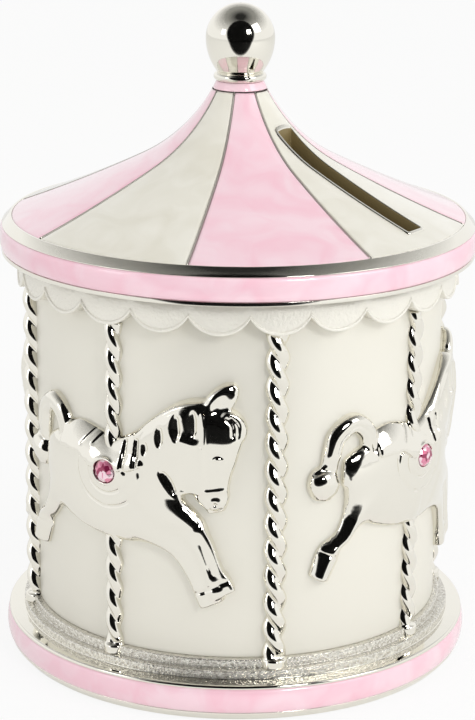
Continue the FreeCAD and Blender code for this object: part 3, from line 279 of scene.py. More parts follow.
def plain_finish(name, colour, metal, dull, bright, size, depth):
    """A worked surface: one colour, with blots of that size in its roughness and in a bump of that depth."""
    material = new_material(name)
    place = add_node(material, "ShaderNodeTexCoord").outputs["Object"]
    inputs = {"Vector": place, "Scale": 1 / (size * MM), "Detail": 3.0}
    blots = add_node(material, "ShaderNodeTexNoise", inputs)
    bump = add_node(material, "ShaderNodeBump", {"Height": blots.outputs["Fac"], "Distance": depth * MM})
    inputs = {"Value": blots.outputs["Fac"], "From Min": NOISE_LOW, "From Max": NOISE_HIGH}
    rough = add_node(material, "ShaderNodeMapRange", inputs | {"To Min": bright, "To Max": dull})
    values = {"Base Color": hex_colour(colour), "Metallic": metal, "Roughness": rough.outputs["Result"]}
    values["Normal"] = bump.outputs["Normal"]
    shader = add_node(material, "ShaderNodeBsdfPrincipled", values)
    add_node(material, "ShaderNodeOutputMaterial", {"Surface": shader.outputs["BSDF"]})
    return material


def cut_crystal(name, pale, middle, deep):
    """Crystal on foil: the flashes of its back facets, 1.1 mm across, are painted into its colour as angular
    patches, pale, middling and deep.
    """
    material = new_material(name)
    place = add_node(material, "ShaderNodeTexCoord").outputs["Object"]
    shards = add_node(material, "ShaderNodeTexVoronoi", {"Vector": place, "Scale": 1 / (1.1 * MM)})
    flash = add_node(material, "ShaderNodeSeparateColor", {"Color": shards.outputs["Color"]})
    stops = [(0.0, deep), (0.8, pale), (0.4, middle)]
    painted_flashes = add_node(material, "ShaderNodeValToRGB", {"Fac": flash.outputs[0]}, stops)
    painted_flashes.color_ramp.interpolation = "CONSTANT"
    values = {"Base Color": painted_flashes.outputs["Color"], "Metallic": 0.5, "Roughness": 0.08, "Coat Weight": 1.0}
    shader = add_node(material, "ShaderNodeBsdfPrincipled", values)
    add_node(material, "ShaderNodeOutputMaterial", {"Surface": shader.outputs["BSDF"]})
    return material


# Silver electroplate, buffed: a clear mirror with the faintest smears and waves
polished = silver_plate("silver_plate_polished", "#EFECE2", dull=0.09, bright=0.05, pit=4.0, depth=0.012)
# Silver electroplate on a matt ground: a pale soft sheen that holds no image
satin = silver_plate(
    "silver_plate_satin", "#EFECE1", dull=0.50, bright=0.42, pit=0.35, depth=0.01, metal=0.25
)
# Silver electroplate on a rough casting: glittering grains with pits painted grey, partly tarnish and partly
# painted shade, drawn coarse enough to show
cast = silver_plate(
    "silver_plate_cast", "#FAF8F0", dull=0.24, bright=0.16, pit=0.6, depth=0.25, metal=0.8, tarnish_and_pit_shade="#C2BDB2"
)
# Silver electroplate on a frosted casting: pale, with a fine crackle, drawn coarse enough to show
frosted = silver_plate(
    "silver_plate_frosted", "#F5F2E8", dull=0.42, bright=0.3, pit=0.6, depth=0.2, metal=0.2
)
# Silver wire and the tent under the enamel, painted grey for the shade in the seams: a grey line between the
# enamels
painted_seam_shade = plain_finish("oxidised_silver", "#B5B0A8", 0.5, dull=0.4, bright=0.3, size=0.8, depth=0.004)
# Gold-coloured lacquer inside the slot: a dim brown glow
gilt = plain_finish("gilt_lacquer", "#8F7E55", 0.3, dull=0.55, bright=0.4, size=2.0, depth=0.02)
# Fired enamel on the bands: the deeper pink of the two, clouded like pearl
rose = pearl_enamel("pearl_enamel_rose", "#FCDAE4", "#F9C5D4")
# Fired enamel on every other panel and on the peak: pale pink, clouded like pearl
pink = pearl_enamel("pearl_enamel_pink", "#FCDDE5", "#FACAD7")
# Fired enamel on the panels between: warm white, clouded like pearl
ivory = pearl_enamel("pearl_enamel_ivory", "#F0EDE1", "#E6E2D3")
# Turned and ground steel: a bluish metal with a fine haze
steel = plain_finish("bright_steel", "#B9BBBE", 1.0, dull=0.34, bright=0.22, size=0.8, depth=0.004)
# Machined brass: a yellow metal with a fine haze
brass = plain_finish("machined_brass", "#D8B25E", 1.0, dull=0.32, bright=0.2, size=0.8, depth=0.004)
# Moulded polypropylene: a dark waxy grain
tray = plain_finish("moulded_polypropylene", "#3C3C3E", 0.0, dull=0.6, bright=0.45, size=1.2, depth=0.02)
# Moulded soft vinyl: milky and dull
soft_plug = plain_finish("soft_vinyl_plug", "#D9D8D2", 0.0, dull=0.6, bright=0.5, size=1.5, depth=0.02)
# Cut crystal backed with foil: hard pink flashes painted into its colour
crystal = cut_crystal("foiled_pink_crystal", "#FBDDE7", "#E48BA8", "#9C2F57")


# Base, drum and valance


def crowned_band(radius, low, high):
    """A band let into a groove: its face bulges by a circle's arc and its edges are softened."""
    inner, edge = radius - ENAMEL_DEPTH, 0.18
    t = np.linspace(-1, 1, 21)
    height = (low + high) / 2 + t * (high - low) / 2 * 0.985
    face = radius + BAND_CROWN * (1 - t**2) - edge * np.abs(t) ** 12
    outline = np.concatenate([[[inner, low]], np.stack([face, height], -1), [[inner, high]]])
    return turned(outline)


def base_moulding():
    """The stepped base: foot, groove of the enamel band, deck, two steps and the hollow underneath."""
    rim, foot = BASE, BASE - 0.25
    recess, groove = rim - 4.5, rim - ENAMEL_DEPTH
    seat, bore = recess - 2.3, DRUM - 5.9
    roof, ledge = DRUM_LOW - 1.7, DRUM_LOW - 3.0
    corners = [
        (recess, 0.0, 0.4),
        (rim - 1.5, 0.0, 0.5),
        (foot, BAND_LOW - 0.5, 0.5),
        (foot, BAND_LOW, 0.1),
        (groove, BAND_LOW, 0.05),
        (groove, BAND_HIGH, 0.05),
        (rim, BAND_HIGH, 0.12),
        (rim, DECK, 0.55),
        (STEP_ONE, DECK, 0.2),
        (STEP_ONE, DECK + STEP, 0.3),
        (STEP_TWO, DECK + STEP, 0.2),
        (STEP_TWO, DRUM_LOW, 0.3),
        (bore, DRUM_LOW, 0.1),
        (bore, roof, 0.1),
        (seat, roof, 0.1),
        (seat, ledge, 0.1),
        (recess, ledge, 0.2),
    ]
    return turned(rounded(corners))


def drum_sheet():
    """The plain drum: a tube with softened lips."""
    inner, lip = DRUM - 1.6, 0.2
    corners = [(inner, DRUM_LOW), (DRUM, DRUM_LOW), (DRUM, DRUM_HIGH), (inner, DRUM_HIGH)]
    return turned(rounded([(*corner, lip) for corner in corners]))


def valance_skirt():
    """A ring whose lower edge hangs in scallops, each a circle's arc, with a round bead along the edge."""
    count, depth, bead, proud = 24, 3.6, 0.42, 0.35
    angle = np.linspace(0, TAU, count * 28, endpoint=False)[:, None]
    half = math.pi / count
    from_tip = (angle + half) % (2 * half) - half
    chord = VALANCE * np.tan(np.abs(from_tip))
    reach = VALANCE * math.tan(half)
    arc = (reach**2 + depth**2) / (2 * depth)
    edge = VALANCE_TIP + arc - np.sqrt(arc**2 - chord**2)
    t = np.linspace(0, math.pi, 9)
    body = VALANCE - proud
    bead_out = body + proud * np.sin(t)[None]
    bead_up = edge + bead * (1 - np.cos(t))[None]
    top = np.broadcast_to(DRUM_HIGH, edge.shape)
    over_bead, half_way = edge + 2 * bead + 0.1, (edge + top) / 2 + bead
    levels = np.concatenate([edge, bead_up, over_bead, half_way, top, top, edge], axis=1)
    places = (body - 0.6, body, body + 0.1, DRUM + 0.05)
    behind_bead, over, belly, inner = (np.full_like(edge, radius) for radius in places)
    radii = np.concatenate([behind_bead, bead_out + 0 * edge, over, belly, over, inner, inner], axis=1)
    points = np.stack([radii * np.cos(angle), radii * np.sin(angle), levels], axis=-1)
    return points.reshape(-1, 3), grid_faces(len(angle), levels.shape[1], True, True)


# Roof


def roof_arcs():
    """Centres of the roof's two arcs: one from eave to knee, the other on from it, in line, to the peak."""
    chord = KNEE - EAVE
    length = np.linalg.norm(chord)
    normal = np.array([chord[1], -chord[0]]) / length
    low = (EAVE + KNEE) / 2 + normal * math.sqrt(LOW_ROOF_RADIUS**2 - length**2 / 4)
    way = (low - KNEE) / LOW_ROOF_RADIUS
    gap = KNEE - PEAK
    radius = -(gap @ gap) / (2 * gap @ way)
    return low, KNEE + way * radius, radius


LOW_CENTRE, TOP_CENTRE, TOP_ROOF_RADIUS = roof_arcs()


def roof_height(radius):
    """The height of the roof: below its centre on the arc that reigns at that radius."""
    low = LOW_CENTRE[1] - np.sqrt(LOW_ROOF_RADIUS**2 - (radius - LOW_CENTRE[0]) ** 2)
    inside = np.maximum(TOP_ROOF_RADIUS**2 - (radius - TOP_CENTRE[0]) ** 2, 0)
    return np.where(radius > KNEE[0], low, TOP_CENTRE[1] - np.sqrt(inside))


def on_roof(x, y, lift):
    """Points over the plan position, lift above the roof."""
    return np.stack([x, y, roof_height(np.hypot(x, y)) + lift], axis=-1)


def eased(distance, width):
    """0 at an edge rising to 1 at width away from it, as a quarter circle does; sharp where width is 0."""
    t = np.clip(distance / max(width, 1e-6), 0, 1)
    return np.sqrt(1 - (1 - t) ** 2)


def packed(count):
    """Steps from 0 to 1 that crowd towards both ends: an even step less a share of a sine wave."""
    t = np.linspace(0, 1, count)
    return t - 0.225 * np.sin(TAU * t) / math.pi


# How far a wedge stays clear of the eave and of the peak
ROOM = 0.05


def wedge(gap, lift, drop, soft):
    """One eighth of the roof as a slab: radius by rows, across by columns, a gap from its neighbours."""
    far, near = EAVE[0] - ROOM, PEAK[0] + ROOM
    radius = far - packed(90)[:, None] * (far - near)
    across = packed(31)[None] * 2 - 1
    half = math.pi / PANELS - np.arcsin(gap / 2 / radius)
    angle = across * half
    x, y = radius * np.cos(angle), radius * np.sin(angle)
    side = (1 - np.abs(across)) * half * radius
    ends = np.minimum(EAVE[0] - radius, radius - PEAK[0]) + 0 * angle
    top = on_roof(x, y, lift - soft * (1 - eased(np.minimum(side, ends), 2.2 * soft)))
    return slab(top, on_roof(x, y, -drop))


def slotted_wedge(gap, lift, drop, soft, margin):
    """A wedge with the coin slot: rows run from the rim of a squarish hole out to the wedge's edge.

    The hole is a superellipse. The edge on each ray from the slot's middle is found by halving.
    """
    turn = np.linspace(0, TAU, 480, endpoint=False)[:, None]
    power = 2 / 9
    c, s = np.cos(turn), np.sin(turn)
    hole_x = SLOT_MIDDLE + (SLOT_LENGTH / 2 + margin) * np.sign(c) * np.abs(c) ** power
    hole_y = (SLOT_WIDTH / 2 + margin) * np.sign(s) * np.abs(s) ** power
    way_x, way_y = 22.0 * c, 12.0 * s
    far, near = EAVE[0] - ROOM, PEAK[0] + ROOM
    low, high = np.zeros_like(turn), np.full_like(turn, 4.0)
    slope = math.pi / PANELS

    def room(k):
        x, y = SLOT_MIDDLE + way_x * k, way_y * k
        edge = np.sin(slope) * x - np.cos(slope) * np.abs(y) - gap / 2
        reach = np.hypot(x, y)
        return np.minimum(np.minimum(edge, far - reach), np.where(x > 0, reach - near, -1))

    for _ in range(40):
        middle = (low + high) / 2
        inside = room(middle) > 0
        low, high = np.where(inside, middle, low), np.where(inside, high, middle)
    out_x, out_y = SLOT_MIDDLE + way_x * low, way_y * low
    t = packed(28)[None]
    x, y = hole_x + (out_x - hole_x) * t, hole_y + (out_y - hole_y) * t
    edge = np.hypot(out_x - x, out_y - y)
    top = on_roof(x, y, lift - soft * (1 - eased(edge, 2.2 * soft)))
    return slab(top.transpose(1, 0, 2), on_roof(x, y, -drop).transpose(1, 0, 2), wrap=True)


def seam_wire():
    """A thin wire up one seam: a ring of points carried up the roof and closed at both ends."""
    rows, ring = 80, 12
    radius = EAVE[0] - np.linspace(0, 1, rows)[:, None] * (EAVE[0] - PEAK[0])
    turn = np.linspace(0, TAU, ring, endpoint=False)[None]
    wide, tall, sunk = 0.5 * SEAM - 0.06, 0.3, 0.22
    x, y = radius + 0 * turn, wide * np.cos(turn) + 0 * radius
    points = on_roof(x, y, tall * np.sin(turn) - sunk)
    step = np.arange(ring // 2 - 1)[:, None]
    end = np.concatenate([step, step + 1, ring - 2 - step, ring - 1 - step], axis=1)
    faces = np.concatenate([grid_faces(rows, ring, False, True), end, end + (rows - 1) * ring])
    return points.reshape(-1, 3), faces


def roof_body():
    """The plated roof: its rim with the bevel, the tent under the enamel and the seam wires."""
    spigot, groove = DRUM - 1.75, RIM - ENAMEL_DEPTH
    bore, spigot_low, ledge = spigot - 1.4, DRUM_HIGH - 3.0, EAVE[1] - PANEL_DEPTH - 1.0
    corners = [
        (bore, spigot_low, 0.1),
        (spigot, spigot_low, 0.1),
        (spigot, DRUM_HIGH, 0.05),
        (RIM, DRUM_HIGH, 0.2),
        (RIM, RIM_LOW, 0.1),
        (groove, RIM_LOW, 0.05),
        (groove, RIM_HIGH, 0.05),
        (RIM, RIM_HIGH, 0.12),
        (RIM - BEVEL, EAVE[1], 0.15),
        (EAVE[0], EAVE[1], 0.1),
        (EAVE[0], ledge, 0.05),
        (bore, ledge, 0.2),
    ]
    apart, sheet = 0.02, 2.4
    tents = [slotted_wedge(apart, -PANEL_DEPTH, sheet, 0.0, 0.45)]
    tents += [spun(wedge(apart, -PANEL_DEPTH, sheet, 0.0), 360 / PANELS * k) for k in range(1, PANELS)]
    wires = [spun(seam_wire(), 360 / PANELS * (k + 0.5)) for k in range(PANELS)]
    return combined(turned(rounded(corners)), *tents, *wires)


def under_panels(middles):
    """The faces of the roof inside the eave: tent and seam wires."""
    return np.hypot(middles[:, 0], middles[:, 1]) < EAVE[0] - 0.3


def in_slot(middles):
    """The inner faces of the slot's frame."""
    across, along = np.abs(middles[:, 1]), np.abs(middles[:, 0] - SLOT_MIDDLE)
    return (across < SLOT_WIDTH / 2 + 0.05) & (along < SLOT_LENGTH / 2 + 0.05)


def slot_rim():
    """The plated frame of the coin slot: a rounded strip carried round a rectangle over the roof."""
    half_x, half_y, bend = SLOT_LENGTH / 2 + SLOT_BORDER / 2, SLOT_WIDTH / 2 + SLOT_BORDER / 2, 0.7
    corners = [(-half_x, -half_y), (half_x, -half_y), (half_x, half_y), (-half_x, half_y)]
    steps, side = 9, 40
    bends = rounded([(*corner, bend) for corner in corners], steps)
    counts = np.where((np.arange(len(bends)) + 1) % steps == 0, side, 1)
    ahead = np.roll(bends, -1, 0)
    track = np.concatenate([np.linspace(*ends, endpoint=False) for ends in zip(bends, ahead, counts)])
    along = np.roll(track, -1, 0) - np.roll(track, 1, 0)
    along /= np.linalg.norm(along, axis=1)[:, None]
    out = np.stack([along[:, 1], -along[:, 0]], -1)
    half, low, high = SLOT_BORDER / 2, -5.5, 0.35
    strip = rounded([(-half, low, 0.1), (half, low, 0.1), (half, high, 0.28), (-half, high, 0.28)], 7)
    x = SLOT_MIDDLE + track[:, 0][:, None] + out[:, 0][:, None] * strip[:, 0]
    y = track[:, 1][:, None] + out[:, 1][:, None] * strip[:, 0]
    points = on_roof(x, y, strip[:, 1] + 0 * x)
    return points.reshape(-1, 3), grid_faces(len(track), len(strip), True, True)


def finial_knob():
    """A pear on a rolled collar: the ball's arc above its waist, a wide arc below, a half-round collar."""
    low, collar, tall, neck, ball = PEAK_RING_HIGH, 5.8, 1.9, 5.0, 7.55
    waist = TOP - ball
    turn, half = np.linspace(-math.pi / 2, math.pi / 2, 15), tall / 2
    roll = np.stack([collar - half + half * np.cos(turn), low + half + half * np.sin(turn)], -1)
    drop, bulge = waist - low - tall, ball - neck
    pear = (drop**2 + bulge**2) / (2 * bulge)
    level = np.linspace(low + tall + 0.1, waist, 24)
    flank = np.stack([ball - pear + np.sqrt(pear**2 - (waist - level) ** 2), level], -1)
    up = np.linspace(0, math.pi / 2, 24)[1:-1]
    dome = np.stack([ball * np.cos(up), waist + ball * np.sin(up)], -1)
    tip = 0.02
    outline = np.concatenate([[[tip, low]], roll, flank, dome, [[tip, TOP]]])
    return turned(outline, 128)


def peak_band():
    """The enamel ring on the peak: a low cone with softened edges."""
    low, high, bore, taper = PEAK_RING_LOW, PEAK_RING_HIGH, 2.1, 0.8
    corners = [(bore, low, 0.1), (PEAK_RING, low, 0.15), (PEAK_RING - taper, high, 0.15), (bore, high, 0.1)]
    return turned(rounded(corners), 96)


# Posts


def rope_post(strand, offset, foot):
    """Two strands laid round each other: the outline of two circles side by side that turns with height."""
    lead, foot_tall = 11.8, 2.2
    level = np.linspace(POST_LOW, POST_HIGH, 260)[:, None]
    around = np.linspace(0, TAU, 72, endpoint=False)[None]
    phase = around + TAU * (level - POST_LOW) / lead
    reach = offset * np.abs(np.cos(phase)) + np.sqrt(strand**2 - (offset * np.sin(phase)) ** 2)
    collar = foot * np.clip((POST_LOW + foot_tall - level) * 4, 0, 1) ** 0.5
    reach = np.maximum(reach, collar)
    x, y = POST_CIRCLE + reach * np.cos(around), reach * np.sin(around)
    out = np.maximum(np.hypot(x, y), DRUM - 0.4)
    angle = np.arctan2(y, x)
    points = np.stack([out * np.cos(angle), out * np.sin(angle), level + 0 * x], -1)
    rows, columns = x.shape
    faces = grid_faces(rows, columns, False, True).tolist()
    faces.append(list(range(columns))[::-1])
    faces.append(list(range((rows - 1) * columns, rows * columns)))
    return points.reshape(-1, 3), faces


# Horses

# A limb's stations: place along the drum from the pole, height, depth, half width, half depth
HORSE = {
    "trunk": [
        (-21.0, 51.2, 0.2, 2.0, 1.0),
        (-19.5, 51.2, 0.3, 5.0, 2.0),
        (-16.0, 50.4, 0.3, 7.8, 2.8),
        (-10.5, 48.6, 0.3, 10.0, 3.0),
        (-1.5, 47.2, 0.3, 10.8, 2.9),
        (7.0, 46.9, 0.3, 10.2, 2.8),
        (12.5, 47.6, 0.3, 7.8, 2.5),
        (15.5, 48.2, 0.3, 4.0, 1.9),
    ],
    "neck": [
        (5.0, 48.5, 0.3, 7.8, 2.8),
        (9.5, 55.0, 0.3, 7.0, 2.9),
        (14.0, 61.0, 0.4, 5.8, 2.9),
        (18.8, 65.0, 0.4, 4.8, 2.9),
        (23.5, 66.0, 0.4, 3.4, 2.8),
    ],
    "head": [
        (24.6, 67.6, 0.4, 2.2, 2.2),
        (24.2, 64.2, 0.4, 4.8, 3.1),
        (22.8, 59.0, 0.4, 5.2, 3.3),
        (21.8, 54.6, 0.4, 5.0, 3.2),
        (22.0, 50.6, 0.4, 4.2, 3.0),
        (22.9, 47.6, 0.4, 3.3, 2.8),
        (23.4, 45.0, 0.4, 1.8, 2.0),
    ],
    "ear": [
        (21.4, 66.2, 0.5, 2.0, 2.3),
        (23.6, 69.0, 0.6, 2.8, 2.4),
        (25.8, 71.4, 0.6, 2.3, 2.0),
        (27.2, 72.9, 0.6, 1.0, 1.0),
    ],
    "near_foreleg": [
        (9.5, 46.2, 0.3, 3.4, 2.0),
        (14.5, 44.4, 0.3, 3.4, 2.6),
        (18.4, 41.6, 0.3, 2.8, 2.6),
        (20.0, 39.2, 0.3, 2.2, 2.2),
    ],
    "near_shin": [
        (18.8, 41.0, 0.3, 2.2, 2.4),
        (20.9, 37.6, 0.3, 2.0, 2.5),
        (23.0, 32.2, 0.3, 1.8, 2.5),
        (24.2, 29.6, 0.3, 2.3, 2.6),
        (25.2, 27.2, 0.3, 2.5, 2.7),
    ],
    "far_foreleg": [
        (8.0, 43.0, 0.2, 4.0, 2.4),
        (12.6, 39.8, 0.2, 3.4, 2.2),
        (16.6, 36.0, 0.2, 2.6, 2.1),
        (19.4, 31.0, 0.2, 2.2, 2.0),
        (21.3, 27.8, 0.2, 2.8, 2.2),
        (22.8, 24.6, 0.2, 3.0, 2.3),
    ],
    "hind_leg": [
        (-11.6, 48.8, 0.3, 4.4, 2.0),
        (-16.2, 44.2, 0.3, 4.0, 2.8),
        (-18.4, 41.0, 0.3, 2.6, 2.6),
        (-20.4, 37.9, 0.3, 2.1, 2.5),
        (-22.4, 36.2, 0.3, 2.1, 2.4),
        (-24.0, 34.2, 0.3, 2.9, 2.6),
        (-26.2, 28.9, 0.3, 2.5, 2.6),
    ],
    "tail": [
        (-13.6, 54.5, 0.2, 2.0, 1.9),
        (-15.0, 60.2, 0.2, 2.2, 2.2),
        (-18.6, 62.6, 0.2, 2.3, 2.3),
        (-22.4, 60.4, 0.2, 2.3, 2.3),
        (-23.6, 56.6, 0.2, 2.2, 2.2),
        (-24.2, 53.6, 0.2, 2.2, 1.7),
        (-25.2, 51.2, 0.2, 3.6, 2.9),
        (-25.5, 48.8, 0.2, 3.4, 2.6),
        (-25.8, 46.6, 0.2, 2.0, 1.4),
    ],
    "seat": [
        (-13.2, 54.9, 0.4, 5.0, 3.3),
        (-9.0, 55.0, 0.4, 6.0, 3.7),
        (-5.0, 53.6, 0.4, 6.6, 4.0),
        (0.0, 52.6, 0.4, 5.8, 4.1),
        (4.0, 53.0, 0.4, 6.2, 4.1),
        (7.2, 54.4, 0.4, 5.4, 3.8),
        (8.6, 55.2, 0.4, 4.4, 2.8),
    ],
    "cheek": [
        (17.4, 60.4, 0.3, 2.6, 2.7),
        (16.4, 57.0, 0.3, 3.6, 2.9),
        (16.6, 54.0, 0.3, 3.6, 2.9),
        (19.0, 52.4, 0.3, 3.8, 3.1),
        (20.6, 52.0, 0.3, 3.0, 3.1),
    ],
    "forelock": [
        (24.4, 66.6, 0.4, 1.6, 2.7),
        (26.6, 65.7, 0.4, 1.7, 2.6),
        (28.1, 63.9, 0.4, 1.5, 2.3),
        (28.2, 61.8, 0.4, 1.1, 1.9),
        (27.2, 60.2, 0.4, 0.6, 1.4),
    ],
}
# How each limb joins the ones before it: the width of the fillet, and the power of the limb's section
JOINS = {
    "neck": (2.0, 2.5),
    "cheek": (2.5, 3.4),
    "head": (0.6, 3.4),
    "near_foreleg": (1.2, 2.2),
    "near_shin": (0.6, 7.0),
    "hind_leg": (1.6, 1.35),
    "far_foreleg": (1.6, 4.0),
    "tail": (0.3, 2.1),
    "ear": (0.3, 3.0),
    "forelock": (0.3, 2.7),
}
# The seat's lower edge: places along the drum, and heights
SEAT_EDGE = [-14.0, -7.0, -4.0, 0.0, 5.5, 9.0], [54.6, 54.8, 52.4, 52.2, 53.0, 54.6]
# Saw-tooth hollows: line, half width, depth
NOTCHES = {
    "first_lock": ([(8.7, 59.8), (8.7, 57.2)], 0.7, 0.8),
    "second_lock": ([(11.9, 63.4), (11.8, 61.3), (11.9, 59.4)], 0.85, 0.95),
    "third_lock": ([(15.3, 66.2), (15.1, 63.6), (15.4, 61.2)], 1.0, 1.0),
    "fourth_lock": ([(18.6, 67.4), (18.3, 65.0), (18.7, 62.2)], 1.15, 0.9),
    "throat": ([(12.2, 53.9), (13.5, 51.4), (14.8, 48.9)], 1.05, 0.85),
}
# Raised bands, and grooves where the height is negative: line, half width, height, softness
STROKES = {
    "crest": ([(6.5, 60.5), (9.0, 63.6), (12.5, 66.6), (16.0, 68.2), (19.5, 68.9)], 0.5, 0.25, 0.3),
    "mane_edge": ([(20.6, 67.0), (21.0, 63.5), (21.0, 60.2)], 0.25, 0.5, 0.3),
    "eyelid": ([(22.7, 57.5), (23.6, 58.2), (24.5, 57.7)], 0.14, -0.45, 0.2),
    "mouth": ([(21.6, 45.6), (22.8, 45.4), (24.2, 45.9)], 0.12, -0.3, 0.2),
    "brow_strap": ([(15.0, 58.2), (17.4, 58.8), (20.0, 59.2)], 0.2, 0.07, 0.25),
    "cheek_strap": ([(20.5, 59.6), (20.5, 55.0), (20.5, 50.2)], 0.5, 0.35, 0.3),
    "nose_strap": ([(16.4, 49.2), (20.5, 49.6), (25.6, 50.4)], 0.4, 0.25, 0.4),
    "forelock_back": ([(25.2, 66.3), (26.4, 64.6), (26.6, 62.4)], 0.15, -0.8, 0.3),
    "forelock_front": ([(26.2, 66.4), (27.5, 64.6), (27.6, 62.2)], 0.15, -0.7, 0.3),
    "cantle_back": ([(-3.8, 60.6), (-5.1, 58.6), (-6.4, 56.6)], 0.14, -0.5, 0.3),
    "cantle_front": ([(-1.8, 59.9), (-2.6, 58.6), (-3.5, 57.2)], 0.14, -0.5, 0.3),
    "pommel_back": ([(4.1, 59.0), (4.1, 55.8), (4.1, 52.8)], 0.24, -1.0, 0.3),
    "pommel_front": ([(6.9, 59.8), (6.9, 57.0), (6.9, 54.2)], 0.24, -1.0, 0.3),
    "girth": ([(-0.6, 43.8), (-0.6, 40.0), (-0.6, 36.5)], 1.1, 0.18, 0.5),
    "between_forelegs": ([(20.3, 38.6), (21.2, 35.6), (22.2, 32.6)], 0.1, -0.33, 0.22),
    "between_fetlocks": ([(22.0, 33.2), (22.7, 31.4)], 0.16, -0.5, 0.25),
    "near_hoof": ([(21.7, 28.6), (24.2, 29.7), (26.7, 30.7)], 0.2, -0.5, 0.3),
    "far_hoof": ([(18.4, 26.6), (21.2, 27.8), (24.0, 29.0)], 0.2, -0.5, 0.3),
    "hind_hoof": ([(-26.9, 35.4), (-24.0, 34.3), (-21.1, 33.1)], 0.2, -0.5, 0.3),
    "tail_cord": (
        [(-13.9, 56.0), (-15.2, 60.0), (-18.5, 62.4), (-22.1, 60.2), (-23.4, 56.6)], 0.16, -0.6, 0.3
    ),
    "tail_tie": ([(-28.0, 52.6), (-25.0, 53.4), (-22.4, 52.4)], 0.2, -0.6, 0.3),
}
# Oval swellings, and hollows where the height is negative: middle, half width, half height, height, lean
SWELLS = {
    "eye": ((23.6, 57.5), 0.95, 0.5, 0.35, 0),
    "muzzle": ((23.2, 47.0), 1.5, 1.4, 0.35, 0),
    "nostril": ((23.1, 47.0), 0.42, 0.36, -0.8, 30),
}
EAR_AT, EAR_WAY, EAR_LEAN = (24.6, 69.2), (0.655, 0.756), -41
# The jaw's line turns here; it falls more steeply before it than after it
JAW_TURN, JAW_BEFORE, JAW_AFTER = (15.5, 47.8), 1.25, 0.77
FLAPS, FLAPS_HIGH = (7.6, 4.6), 54.0
STONE_AT = (0.0, 52.0)
STONE = 2.5
CELL = 0.25
LOW_U, LOW_Z, LOW_D = -31.0, 21.5, -0.75
U, Z = np.meshgrid(np.arange(LOW_U, 31.0, CELL), np.arange(LOW_Z, 76.0, CELL), indexing="ij")
D = np.arange(LOW_D, 5.6, CELL)


def smooth_line(stations, steps=20):
    """The cubic curve through the stations that passes each one along the line between its neighbours."""
    p = np.asarray(stations, float)
    p = np.concatenate([2 * p[:1] - p[1:2], p, 2 * p[-1:] - p[-2:-1]])
    t = np.linspace(0, 1, steps, endpoint=False)[None, :, None]
    a, b, c, d = p[:-3, None], p[1:-2, None], p[2:-1, None], p[3:, None]
    line = b + 0.5 * ((c - a) * t + (2 * a - 5 * b + 4 * c - d) * t**2 + (3 * b - a - 3 * c + d) * t**3)
    return np.concatenate([line.reshape(-1, p.shape[1]), p[-2:-1]])


def smooth_min(a, b, blend):
    """The lesser of two fields, with a fillet where they are within blend of each other."""
    h = np.maximum(blend - np.abs(a - b), 0) / blend
    return np.minimum(a, b) - h * h * blend / 4


def limb(stations, power):
    """Signed field of a limb: a superellipse of width and depth round a smooth line, its ends cut flat."""
    line = smooth_line(stations)
    away = np.hypot(U[..., None] - line[:, 0], Z[..., None] - line[:, 1])
    best = away.argmin(-1)
    middle, wide, deep = (line[best, k][..., None] for k in (2, 3, 4))
    across = away.min(-1)[..., None] / wide
    field = (across**power + (np.abs(D - middle) / deep) ** power) ** (1 / power) - 1
    field = field * np.minimum(wide, deep)
    for end, before, here in ((line[0], line[1], best < 2), (line[-1], line[-2], best > len(line) - 3)):
        way = (end - before)[:2] / np.linalg.norm((end - before)[:2])
        cut = np.where(here, (U - end[0]) * way[0] + (Z - end[1]) * way[1], -9.0)
        field = -smooth_min(-field, -cut[..., None], 0.6)
    return field


def stroke(points, half, height, soft=0.3):
    """A raised band, or a groove where height is negative, along a smooth line, with soft edges."""
    line = smooth_line(points)
    away = np.hypot(U[..., None] - line[:, 0], Z[..., None] - line[:, 1]).min(-1)
    t = np.clip((half + soft - away) / (2 * soft), 0, 1)
    return height * t * t * (3 - 2 * t)


def swell(place, wide, tall, height, lean=0.0):
    """A flat-topped oval swelling, or a hollow, that leans by the angle in degrees."""
    c, s = math.cos(math.radians(lean)), math.sin(math.radians(lean))
    x, y = U - place[0], Z - place[1]
    across, up = (c * x + s * y) / wide, (c * y - s * x) / tall
    return height * np.exp(-((across**2 + up**2) ** 2))


def disc(radius, front, soft=0.3):
    """Signed field of a round pad on the saddle's middle, its front edge rounded."""
    out = np.hypot(U - STONE_AT[0], Z - STONE_AT[1])[..., None] - radius + soft
    up = D - front + soft
    return np.hypot(np.maximum(out, 0), np.maximum(up, 0)) + np.minimum(np.maximum(out, up), 0) - soft


def horse_field():
    """Signed field of one horse: limbs joined with fillets, and the seat, cut along its lower edge."""
    field = limb(HORSE["trunk"], 2.2)
    for name, (blend, power) in JOINS.items():
        field = smooth_min(field, limb(HORSE[name], power), blend)
    seat = -smooth_min(-limb(HORSE["seat"], 1.35), (Z - np.interp(U, *SEAT_EDGE))[..., None], 0.5)
    return smooth_min(field, seat, 0.15)


def notch(points, half, depth):
    """A saw-tooth hollow along a line drawn downwards: it falls to the right and ends in a steep wall."""
    line = smooth_line(points)
    across, up = U[..., None] - line[:, 0], Z[..., None] - line[:, 1]
    away = np.hypot(across, up)
    best = away.argmin(-1)
    way_u, way_z = np.moveaxis(np.gradient(line, axis=0)[best], -1, 0)
    near_u, near_z = np.moveaxis(line[best], -1, 0)
    side = ((Z - near_z) * way_u - (U - near_u) * way_z) / np.hypot(way_u, way_z)
    half = half * np.sqrt(1.04 - (2 * best / len(line) - 1) ** 2)
    edge = np.clip((half - away.min(-1)) / 0.2, 0, 1)
    return -depth * np.clip((side / half + 1) / 2, 0, 1) * edge


